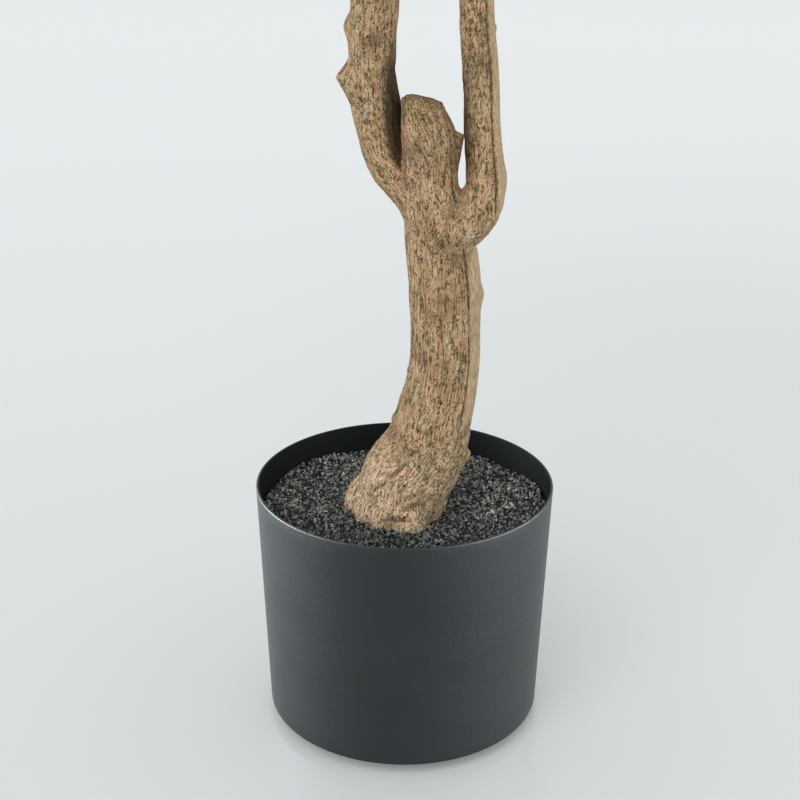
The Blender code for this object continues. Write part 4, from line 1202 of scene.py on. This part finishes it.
class Crown:
    """Stems, twigs and leaves, grown mass by mass."""

    def __init__(self, settings):
        self.settings = settings
        self.stems = []       # path and the radii of its two ends
        self.twigs = []
        self.leaves = []      # root, outward direction, face direction, size and tint
        self.draw = random.Random(settings.seed)

    def add_leaves(self, path, bare, tints):
        """Pairs of leaves along a twig, each pair square to the last, and one at its tip."""
        reach = path_length(path)
        distance = reach - 3 * MM
        rank = 0
        turn = self.draw.uniform(0, math.tau)
        while distance > bare:
            root, way = along_path(path, distance)
            sides = (0, math.pi) if rank else (0,)
            for side in sides:
                spread = math.radians(self.draw.gauss(*LEAF_SPREAD) if rank
                                      else self.draw.uniform(0, 16))
                angle = turn + rank * math.pi / 2 + side + self.draw.gauss(0, 0.16)
                lateral = aside(way, angle)
                out = way * math.cos(spread) + lateral * math.sin(spread)
                out = unit(out + np.array((0, 0, self.draw.gauss(-0.04, 0.08))))
                face = unit(way - out * (way @ out)) if rank else aside(out, angle)
                young = 0.62 + 0.38 * min(1, rank / 3)
                size = self.settings.leaf * young * self.draw.uniform(0.86, 1.14)
                self.leaves.append((root, out, face, size, self.draw.choice(tints)))
            distance -= self.settings.pair_step * self.draw.uniform(0.9, 1.15)
            rank += 1

    def add_side_twigs(self, path, space, tints):
        """Side twigs from a twig, leaves on all of them."""
        reach = path_length(path)
        count = max(1, int(reach / SIDE_TWIG_STEP))
        for index in range(count):
            part = 0.2 + 0.66 * (index + 0.5) / count
            root, way = along_path(path, part * reach)
            spread = math.radians(self.draw.gauss(*SIDE_TWIG_SPREAD))
            lateral = aside(way, index * GOLDEN_ANGLE + self.draw.uniform(-0.3, 0.3))
            heading = unit(way * math.cos(spread) + lateral * math.sin(spread))
            wanted = self.settings.side_twig * (1.1 - 0.45 * part) * self.draw.uniform(0.85, 1.15)
            side = twig_path(root, heading, wanted, SIDE_TWIG_RISE, space, SIDE_TWIG_LEAST)
            if side is not None:
                self.twigs.append((side, *SIDE_TWIG_RADII))
                self.add_leaves(side, SIDE_TWIG_BARE, tints)

    def grow_mass(self, tip, way, space):
        """One mass: a stem, its twigs and what they bear."""
        draw = self.draw
        path = stem_path(tip, way, space, draw)
        reach = path_length(path)
        self.stems.append((path, BOUGH_TIP_RADIUS, STEM_TIP_RADIUS))
        self.add_leaves(path, reach * STEM_BARE, LIGHT_TINTS)
        for index in range(self.settings.twigs):
            part = 0.06 + 0.88 * (index + 0.5) / self.settings.twigs
            root, stem_way = along_path(path, part * reach)
            spread = math.radians(TWIG_SPREAD + draw.uniform(-8, 8))
            side = aside(stem_way, GOLDEN_ANGLE * index + draw.uniform(-0.3, 0.3))
            heading = unit(stem_way * math.cos(spread) + side * math.sin(spread))
            wanted = self.settings.twig * (1 - 0.45 * part) * draw.uniform(0.9, 1.1)
            twig = twig_path(root, heading, wanted, TWIG_RISE, space, TWIG_LEAST)
            if twig is None:
                continue
            tints = draw.choice(TINT_SPRAYS)
            self.twigs.append((twig, *TWIG_RADII))
            self.add_leaves(twig, TWIG_BARE, tints)
            self.add_side_twigs(twig, space, tints)


@functools.cache
def grown_crown():
    """The whole crown's plan, grown once."""
    crown = Crown(bpy.context.scene.euc_crown)
    middles, routes = carriers()
    rods = Rods(*[thinned(route, 12 if len(route) > 100 else 6) for route in routes])
    for index, route in enumerate(routes):
        way = unit(route[-1, :3] - route[-4, :3])
        crown.grow_mass(route[-1, :3], way, Space(index, middles, rods))
    crown.leaves = fitting_leaves(crown.leaves, rods)
    return crown


def leaf_columns(leaves):
    """Roots, outward directions, face directions and sizes of leaves, each as one array."""
    return (np.array([leaf[key] for leaf in leaves]) for key in range(4))


def fitting_leaves(leaves, rods):
    """The leaves that keep clear of limbs, inside the box, and out of each other's middle."""
    roots, outs, _, sizes = leaf_columns(leaves)
    middles = roots + outs * sizes[:, None] * LEAF_MIDDLE
    tips = roots + outs * sizes[:, None] * LEAF_TIP
    distance, _ = rods.nearest(middles)
    inside = np.all((tips > np.array(SOLIDS_BOX[0]) - LEAF_OVERHANG)
                    & (tips < np.array(SOLIDS_BOX[1]) + LEAF_OVERHANG), axis=1)
    inside &= np.sum(((tips - CROWN_MIDDLE) / (CROWN_REACH + 4 * MM)) ** 2, axis=1) < 1
    kept = []
    for index in np.flatnonzero(inside & (distance > sizes * LEAF_FROM_WOOD)):
        near = kept and np.linalg.norm(middles[kept] - middles[index], axis=1)
        if not kept or near.min() > LEAF_FROM_LEAF * sizes[index]:
            kept.append(index)
    return [leaves[index] for index in kept]


# ---------------------------------------------------------------- twigs and leaves as meshes

def twig_bundle(twigs, stations, sides):
    """Many tapered tubes in one set of arrays, each square to its own path.

    Every path is read at the same number of stations, so all tubes are worked out at once.
    """
    paths = np.empty((len(twigs), stations, 3))
    radii = np.empty((len(twigs), stations))
    for index, (path, root_radius, tip_radius) in enumerate(twigs):
        flat = np.hstack((path, np.zeros((len(path), 1))))
        fine = smooth_route(flat, path_length(path) / (4 * stations))
        wanted = np.linspace(0, len(fine) - 1, stations)
        for axis in range(3):
            paths[index, :, axis] = np.interp(wanted, np.arange(len(fine)), fine[:, axis])
        radii[index] = np.linspace(root_radius, tip_radius, stations)
    way = unit(np.gradient(paths, axis=1))
    overall = unit(paths[:, -1] - paths[:, 0])
    steep = np.abs(overall[:, 2:]) > 0.9
    guide = unit(np.where(steep, np.cross(overall, (1, 0, 0)), np.cross(overall, (0, 0, 1))))
    first = unit(np.cross(guide[:, None], way))
    second = np.cross(way, first)
    angle = np.arange(sides) * math.tau / sides
    rings = (paths[:, :, None] + radii[:, :, None, None]
             * (np.cos(angle)[:, None] * first[:, :, None]
                + np.sin(angle)[:, None] * second[:, :, None]))
    tips = paths[:, [0, -1]]
    points = np.concatenate((rings.reshape(len(twigs), -1, 3), tips), axis=1)
    faces = copied_faces(tube_faces(stations, sides), len(twigs), points.shape[1])
    return points.reshape(-1, 3), faces


def leaf_pattern(width, thickness):
    """A leaf of length one along +X with its face to +Z, as one closed thin shell.

    Its outline is nearly a circle: half its width at a share v of its length goes with the
    square root of v (1 - v), pinched to a stalk at its root. It is dished across and along, and
    creased on its rib.
    """
    along = np.array((-0.10, 0.0, 0.07, 0.22, 0.42, 0.64, 0.84, 0.96, 1.0))
    across = np.array((-1, -0.5, 0, 0.5, 1))
    blade = np.clip(along, 0, 1)
    half = width * (np.sqrt(blade * (1 - blade)) * (1 - 0.12 * blade))
    half = np.maximum(half, np.where(along < 0.05, 0.016, 0.004))
    x = np.repeat(along[:, None], len(across), axis=1)
    y = half[:, None] * across[None]
    z = 0.10 * y ** 2 / width ** 2 * 2 - 0.10 * (x - 0.5) ** 2 + 0.10 * np.abs(y)
    top = np.stack((x, y, z + thickness / 2), axis=-1)
    low = np.stack((x, y, z - thickness / 2), axis=-1)
    rim = np.abs(across) == 1
    top[:, rim, 2] = z[:, rim]
    rows, columns = x.shape
    lower = np.delete(low, [0, columns - 1], axis=1)
    lower_index = np.arange(rows * (columns - 2)).reshape(rows, -1) + rows * columns
    upper_index = np.arange(rows * columns).reshape(rows, -1)
    under = np.hstack((upper_index[:, :1], lower_index, upper_index[:, -1:]))

    def sheet(index, flip):
        corners = np.stack((index[:-1, :-1], index[1:, :-1], index[1:, 1:], index[:-1, 1:]),
                           axis=-1).reshape(-1, 4)
        return corners[:, ::-1] if flip else corners

    quads, corners = [sheet(upper_index, False), sheet(under, True)], []
    for row, order in ((0, 1), (-1, -1)):
        above, below = upper_index[row], under[row]
        quads.append(np.stack((above[1:-2], above[2:-1], below[2:-1], below[1:-2]),
                              axis=-1)[:, ::order])
        corners += [(above[0], above[1], below[1])[::order],
                    (above[-2], above[-1], below[-2])[::order]]
    points = np.vstack((top.reshape(-1, 3), lower.reshape(-1, 3)))
    return points, [np.vstack(quads), np.array(corners)]


def leaf_bundle(leaves, settings, seed):
    """All leaves of one tint: the pattern turned, sized, dished and set on each root."""
    pattern, faces = leaf_pattern(settings.leaf_width, settings.leaf_thickness / settings.leaf)
    roots, outs, ups, sizes = leaf_columns(leaves)
    side = np.cross(ups, outs)
    chance = np.random.default_rng(seed)
    dish = chance.uniform(0.3, 2.2, len(leaves)) * chance.choice((1, 1, 1, -0.5), len(leaves))
    roll = chance.normal(0, 0.22, len(leaves))
    width = chance.uniform(0.86, 1.08, len(leaves))
    local = np.repeat(pattern[None], len(leaves), axis=0)
    local[..., 1] *= width[:, None]
    middle = local[..., 2].copy()
    local[..., 2] = middle * dish[:, None] + roll[:, None] * local[..., 1] * local[..., 0]
    local = local * sizes[:, None, None] + np.array((0.10, 0, 0)) * sizes[:, None, None]
    points = (roots[:, None] + local[..., :1] * outs[:, None] + local[..., 1:2] * side[:, None]
              + local[..., 2:] * ups[:, None])
    return points.reshape(-1, 3), copied_faces(faces, len(leaves), len(pattern))


# ---------------------------------------------------------------- operators

class MakePiece:
    """What all the operators share."""

    bl_options = {"REGISTER", "UNDO"}

    def execute(self, context):
        """Make what the operator is for."""
        self.make(context.scene)
        return {"FINISHED"}


class OBJECT_OT_euc_pot(MakePiece, bpy.types.Operator):
    """Make the pot's shell"""

    bl_idname = "object.euc_pot"
    bl_label = "Pot"

    def make(self, scene):
        pot = scene.euc_pot
        lip = pot.wall / 2
        slope = (pot.top_radius - pot.low_radius) / (pot.height - pot.foot_height)
        foot = pot.low_radius - pot.foot_inset
        floor = pot.foot_height + 3 * MM

        def corner(radius, height, start):
            """A rounded corner: a quarter circle about its own middle."""
            angle = np.radians(np.linspace(start, start + 90, 5))
            return np.stack((radius + pot.edge * np.cos(angle),
                             height + pot.edge * np.sin(angle)), axis=-1)

        heights = np.linspace(pot.foot_height + 2 * pot.edge, pot.height - lip, 22)
        outer = np.stack((pot.low_radius + slope * (heights - pot.foot_height), heights), axis=-1)
        angle = np.radians(np.linspace(0, 180, 13))
        rim = np.stack((pot.top_radius - lip + lip * np.cos(angle),
                        pot.height - lip + lip * np.sin(angle)), axis=-1)
        inner = outer[::-1] - (pot.wall, 0)
        profile = np.vstack((
            (0, 0), corner(foot - pot.edge, pot.edge, -90),
            (foot, pot.foot_height),
            corner(pot.low_radius - pot.edge, pot.foot_height + pot.edge, -90),
            outer[1:-1], rim, inner[1:-1],
            (pot.low_radius - pot.wall, floor), (0, floor)))
        points, faces = turned_surface(profile, 288)
        shell = put_piece("pot_shell", points, faces, plastic_finish(pot), ("pot",))
        # the inside gets the dull plastic, painted darker as painted shade
        shell.data.materials.append(plastic_finish(pot, dull_and_shaded=True))
        middles = np.empty(len(shell.data.polygons) * 3)
        shell.data.polygons.foreach_get("center", middles)
        x, y, z = middles.reshape(-1, 3).T
        wall = pot.low_radius + slope * (z - pot.foot_height) - 0.75 * pot.wall
        inside = (np.hypot(x, y) < wall) & (z > pot.foot_height + MM)
        shell.data.polygons.foreach_set("material_index", inside.astype(np.int32))


class OBJECT_OT_euc_soil(MakePiece, bpy.types.Operator):
    """Make the fill of the pot and the loose crumbs on it"""

    bl_idname = "object.euc_soil"
    bl_label = "Soil"

    def make(self, scene):
        soil = scene.euc_soil
        material = crumb_finish(soil)
        edge = SOIL_BOX[1].x - 0.2 * MM
        radii = np.linspace(0, edge, 95)
        profile = np.vstack(((0, SOIL_BOX[0].z), (edge - 6 * MM, SOIL_BOX[0].z),
                             np.stack((radii[::-1], np.full(95, soil.top)), axis=-1)))
        points, faces = turned_surface(profile, 220)
        upper = points[:, 2] > soil.top - MM
        bed = soft_noise(points[upper], (26, 26, 26), 31) * 1.4
        bed += soft_noise(points[upper], (3.2, 3.2, 3.2), 37) * 0.7
        points[upper, 2] += (bed - 3.4) * MM
        put_piece("soil_bed", points, faces, material, ("soil",))
        points, faces, tone = self.crumbs(soil, edge)
        crumbs = put_piece("soil_crumbs", points, faces, material, ("soil",), smooth=False)
        give_attribute(crumbs, "tone", tone)

    @staticmethod
    def crumbs(soil, edge):
        """Crumbs: icosahedra with jittered corners, stretched, turned and strewn evenly.

        A crumb's way from the middle goes with the square root of an even draw, so that the
        crumbs lie evenly over the disc. Towards the front they are painted less dusty and darker,
        as painted shade under the pot's front rim, and towards the right side they are paler.
        """
        work = bmesh.new()
        bmesh.ops.create_icosphere(work, subdivisions=1, radius=1.0)
        ball = np.array([vertex.co for vertex in work.verts])
        corners = np.array([[vertex.index for vertex in face.verts] for face in work.faces])
        work.free()
        count = soil.crumbs
        chance = np.random.default_rng(7)
        far = edge * np.sqrt(chance.uniform(0, 1, count))
        angle = chance.uniform(0, math.tau, count)
        middle = np.stack((far * np.cos(angle), far * np.sin(angle), np.zeros(count)), axis=-1)
        bed = soft_noise(middle, (26, 26, 26), 31) * 1.3
        dip = smooth_step(far, edge - 13 * MM, edge) * (0.4 - soft_noise(middle, (30, 30, 30), 61))
        middle[:, 2] = soil.top + (bed - 1.6 - 2.6 * dip + chance.uniform(-1.5, 1.3, count)) * MM
        size = soil.crumb * chance.lognormal(0, 0.28, (count, 1))
        stretch = size * chance.uniform((0.75, 0.5, 0.4), (1.45, 0.9, 0.75), (count, 3))
        reach = np.max(stretch, axis=1)
        limit = np.minimum(1, (edge - reach) / np.maximum(far, MM))
        middle[:, :2] *= limit[:, None]
        shape = ball[None] * chance.uniform(0.72, 1.2, (count, len(ball), 1)) * stretch[:, None]
        turns = random_turns(chance, count)
        points = middle[:, None] + np.einsum("nij,nkj->nki", turns, shape)
        # painted shade: crumbs towards the front are painted less dusty and darker; towards the
        # right they are paler
        dust_and_shade = 1 - 0.4 * smooth_step(-middle[:, 1], 0, 50 * MM)
        dust_and_shade += 0.2 * smooth_step(middle[:, 0], 30 * MM, 70 * MM)
        tone = np.repeat(chance.beta(1.1, 2.3, count) * dust_and_shade, len(ball))
        return points.reshape(-1, 3), copied_faces([corners], count, len(ball)), tone


def random_turns(chance, count):
    """Turning matrices drawn evenly over all directions, from random unit quaternions."""
    w, x, y, z = unit(chance.normal(size=(count, 4))).T
    return np.stack((
        1 - 2 * (y * y + z * z), 2 * (x * y - z * w), 2 * (x * z + y * w),
        2 * (x * y + z * w), 1 - 2 * (x * x + z * z), 2 * (y * z - x * w),
        2 * (x * z - y * w), 2 * (y * z + x * w), 1 - 2 * (x * x + y * y)), axis=-1
    ).reshape(count, 3, 3)


def limb_rods():
    """Rods of the parts that meet at the fork."""
    limbs = wood_routes()
    return {
        "trunk": Rods(thinned(limbs["trunk"], 5), *root_chains()),
        "left": Rods(low_part(limbs["left"])),
        "right": Rods(low_part(limbs["right"])),
    }


class OBJECT_OT_euc_trunk(MakePiece, bpy.types.Operator):
    """Make the trunk's bark, with its root flare and the sawn stub"""

    bl_idname = "object.euc_trunk"
    bl_label = "Trunk"

    def make(self, scene):
        bark = scene.euc_bark
        trunk = wood_routes()["trunk"]
        stations = rounded_end(trunk, STUB_DOME)

        def cut(points):
            """Cut the foot flat under the soil, and the stub's top to its facets.

            A point at d beyond a facet goes back by (d + the root of d squared and the softness
            squared) over two, which rounds the facet's edges.
            """
            points[:, 2] = np.maximum(points[:, 2], SOIL_BOX[1].z - 2 * MM)
            rough = soft_noise(points, (4, 4, 4), 71) * SAW_ROUGHNESS * MM
            for place, normal in SAW_CUTS:
                way = unit(np.array(normal))
                beyond = (points - in_metres(place)) @ way + rough
                back = (beyond + np.hypot(beyond, SAW_SOFTNESS * MM)) / 2
                back *= smooth_step(points[:, 2], *SAW_FREE)
                points = points - back[:, None] * way
            return points

        others = Rods(*[low_part(wood_routes()[side]) for side in ("left", "right")])
        bark_piece("trunk_bark", stations, 208, limb_rods()["trunk"], others, bark,
                   bark_finish(bark, "trunk_bark"), ("trunk",), shape=cut,
                   band=TRUNK_BAND, twist=STUB_TWIST)


class OBJECT_OT_euc_limbs(MakePiece, bpy.types.Operator):
    """Make the bark of the two limbs"""

    bl_idname = "object.euc_limbs"
    bl_label = "Limbs"

    def make(self, scene):
        bark = scene.euc_bark
        routes = wood_routes()
        material = bark_finish(bark, "limb_bark")
        for side, other, band, upright in (("left", "right", None, None),
                                           ("right", "left", LIMB_BAND, UPRIGHT_GRAIN)):
            own = Rods(thinned(routes[side], 8))
            near = Rods(thinned(routes["trunk"], 5), *root_chains(), low_part(routes[other]))
            bark_piece(f"{side}_limb_bark", rounded_end(routes[side]), 108, own, near, bark,
                       material, (f"{side}_limb",), band=band, upright=upright)


class OBJECT_OT_euc_boughs(MakePiece, bpy.types.Operator):
    """Make the bark of the boughs"""

    bl_idname = "object.euc_boughs"
    bl_label = "Boughs"

    def make(self, scene):
        bark = scene.euc_bark
        _, routes = carriers()
        rings, columns = 84, 24
        points, logs, faces = [], [], []
        for route in routes[len(TIP_MASSES):]:
            stations = smooth_route(route[::6], path_length(route[:, :3]) / (rings - 1))[:rings]
            way = unit(stations[-1, :3] - stations[0, :3])
            guide = unit(np.cross(way, (0, 0, 1)))
            grid, log = tube_grid(stations, columns, guide)
            flat = grid.reshape(-1, 3)
            straight = log.reshape(-1, 3)
            centre = np.repeat(stations[:, :3], columns, axis=0)
            bumps = (soft_noise(straight, (3.5, 3.5, 18), 43) * 0.35
                     + soft_noise(flat, (9, 9, 9), 47) * 0.35)
            flat = flat + unit(flat - centre) * bumps[:, None] * MM
            start = sum(len(block) for block in points)
            points += [flat, stations[[0, -1], :3]]
            logs += [straight, np.array(((0, 0, 0), (0, 0, straight[-1, 2])))]
            faces += [block + start for block in tube_faces(len(stations), columns)]
        points, logs = np.vstack(points), np.vstack(logs)
        piece = put_piece("bough_bark", points, faces, bark_finish(bark, "bough_bark", 0.7),
                          nodes_named("bough"))
        give_attribute(piece, "grain", logs)
        give_attribute(piece, "band", np.zeros(len(points)))


class OBJECT_OT_euc_twigs(MakePiece, bpy.types.Operator):
    """Make the stems and twigs of the masses of foliage"""

    bl_idname = "object.euc_twigs"
    bl_label = "Twigs"

    def make(self, scene):
        crown = grown_crown()
        nodes = nodes_named("foliage")
        material = twig_finish()
        for name, twigs, stations, sides in (("stems", crown.stems, 40, 10),
                                             ("twigs", crown.twigs, 9, 5)):
            points, faces = twig_bundle(twigs, stations, sides)
            put_piece(name, points, faces, material, nodes)


class OBJECT_OT_euc_leaves(MakePiece, bpy.types.Operator):
    """Make the leaves, one piece for each tint"""

    bl_idname = "object.euc_leaves"
    bl_label = "Leaves"

    def make(self, scene):
        crown = grown_crown()
        nodes = nodes_named("foliage")
        for index, tint in enumerate(LEAF_TINTS):
            leaves = [leaf for leaf in crown.leaves if leaf[4] == index]
            points, faces = leaf_bundle(leaves, crown.settings, 50 + index)
            name = f"leaves_{index + 1}"
            put_piece(name, points, faces, leaf_finish(name, tint), nodes)


class OBJECT_OT_euc_stage(MakePiece, bpy.types.Operator):
    """Set the camera, the floor and the lights"""

    bl_idname = "object.euc_stage"
    bl_label = "Stage"

    def make(self, scene):
        stage = scene.euc_stage
        self.camera(scene, stage)
        floor = self.floor(stage)
        self.lights(scene, stage, floor)

    @staticmethod
    def camera(scene, stage):
        """A camera straight in front of the plant, looking down at it."""
        lens = bpy.data.cameras.new("camera")
        lens.lens = stage.lens
        lens.sensor_width = 36.0
        camera = bpy.data.objects.new("camera", lens)
        turn = (Matrix.Rotation(math.radians(90) - stage.elevation, 4, "X")
                @ Matrix.Rotation(stage.roll, 4, "Z"))
        back = turn.to_3x3() @ Vector((0, 0, 1))
        target = Vector((CAMERA_SHIFT, 0, stage.look_height))
        camera.matrix_world = Matrix.Translation(target + back * stage.distance) @ turn
        scene.collection.objects.link(camera)
        scene.camera = camera

    @staticmethod
    def floor(stage):
        """A wide flat disc of paper."""
        angle = np.arange(96) * math.tau / 96
        rim = np.stack((np.cos(angle), np.sin(angle), np.zeros(96)), axis=-1) * FLOOR_RADIUS
        mesh = bpy.data.meshes.new("floor")
        mesh.from_pydata(rim, [], [list(range(96))])
        mesh.materials.append(paper_finish(stage))
        floor = bpy.data.objects.new("floor", mesh)
        bpy.context.scene.collection.objects.link(floor)
        return floor

    @staticmethod
    def lights(scene, stage, floor):
        """Even light all round, a wide soft lamp, and two panels for gloss that miss the floor."""
        world = bpy.data.worlds.new("studio")
        scene.world = world
        world.use_nodes = True
        sky = world.node_tree.nodes["Background"]
        sky.inputs["Color"].default_value = (*stage.sky, 1.0)
        sky.inputs["Strength"].default_value = stage.sky_strength
        lamp = bpy.data.lights.new("soft_lamp", "SUN")
        lamp.energy, lamp.angle = SOFT_LAMP_STRENGTH, SOFT_LAMP_ANGLE
        hang(scene, lamp, SOFT_LAMP_WAY, (0, 0, 0)).visible_glossy = False
        unlit = bpy.data.collections.new("not_lit_by_panels")
        unlit.objects.link(floor)
        unlit.collection_objects[0].light_linking.link_state = "EXCLUDE"
        for name, place, size, brightness in GLOSS_PANELS:
            lamp = bpy.data.lights.new(name, "AREA")
            lamp.shape = "RECTANGLE"
            lamp.color = PANEL_COLOUR
            lamp.size, lamp.size_y = size
            lamp.energy = brightness * math.pi * size[0] * size[1]
            item = hang(scene, lamp, place, PANEL_TARGET)
            item.visible_camera = False
            item.visible_diffuse = False
            item.light_linking.receiver_collection = unlit
        scene.view_settings.view_transform = "Standard"


def hang(scene, lamp, place, target):
    """Put a lamp in its place, turned to its target."""
    item = bpy.data.objects.new(lamp.name, lamp)
    item.location = place
    item.rotation_euler = (Vector(place) - Vector(target)).to_track_quat("Z", "Y").to_euler()
    scene.collection.objects.link(item)
    return item


STEPS = (                      # operators in the order in which they run
    OBJECT_OT_euc_stage, OBJECT_OT_euc_pot, OBJECT_OT_euc_soil, OBJECT_OT_euc_trunk,
    OBJECT_OT_euc_limbs, OBJECT_OT_euc_boughs, OBJECT_OT_euc_twigs, OBJECT_OT_euc_leaves,
)


class VIEW3D_PT_eucalyptus(bpy.types.Panel):
    """Buttons for the pieces and the stage"""

    bl_idname = "VIEW3D_PT_eucalyptus"
    bl_label = "Potted eucalyptus"
    bl_space_type = "VIEW_3D"
    bl_region_type = "UI"
    bl_category = "Eucalyptus"

    def draw(self, context):
        for step in STEPS:
            self.layout.operator(step.bl_idname)
        for name, group in SETTINGS.items():
            box = self.layout.box()
            for key in group.__annotations__:
                box.prop(getattr(context.scene, name), key)


CLASSES = (*SETTINGS.values(), *STEPS, VIEW3D_PT_eucalyptus)


def register():
    """Register the classes and hang the settings on the scene."""
    for item in CLASSES:
        bpy.utils.register_class(item)
    for name, group in SETTINGS.items():
        setattr(bpy.types.Scene, name, PointerProperty(type=group))


def unregister():
    """Take the settings and the classes away again."""
    for name in SETTINGS:
        delattr(bpy.types.Scene, name)
    for item in reversed(CLASSES):
        bpy.utils.unregister_class(item)


def main():
    """Make every piece."""
    register()
    for step in STEPS:
        family, name = step.bl_idname.split(".")
        getattr(getattr(bpy.ops, family), name)()


if __name__ == "__main__":
    main()
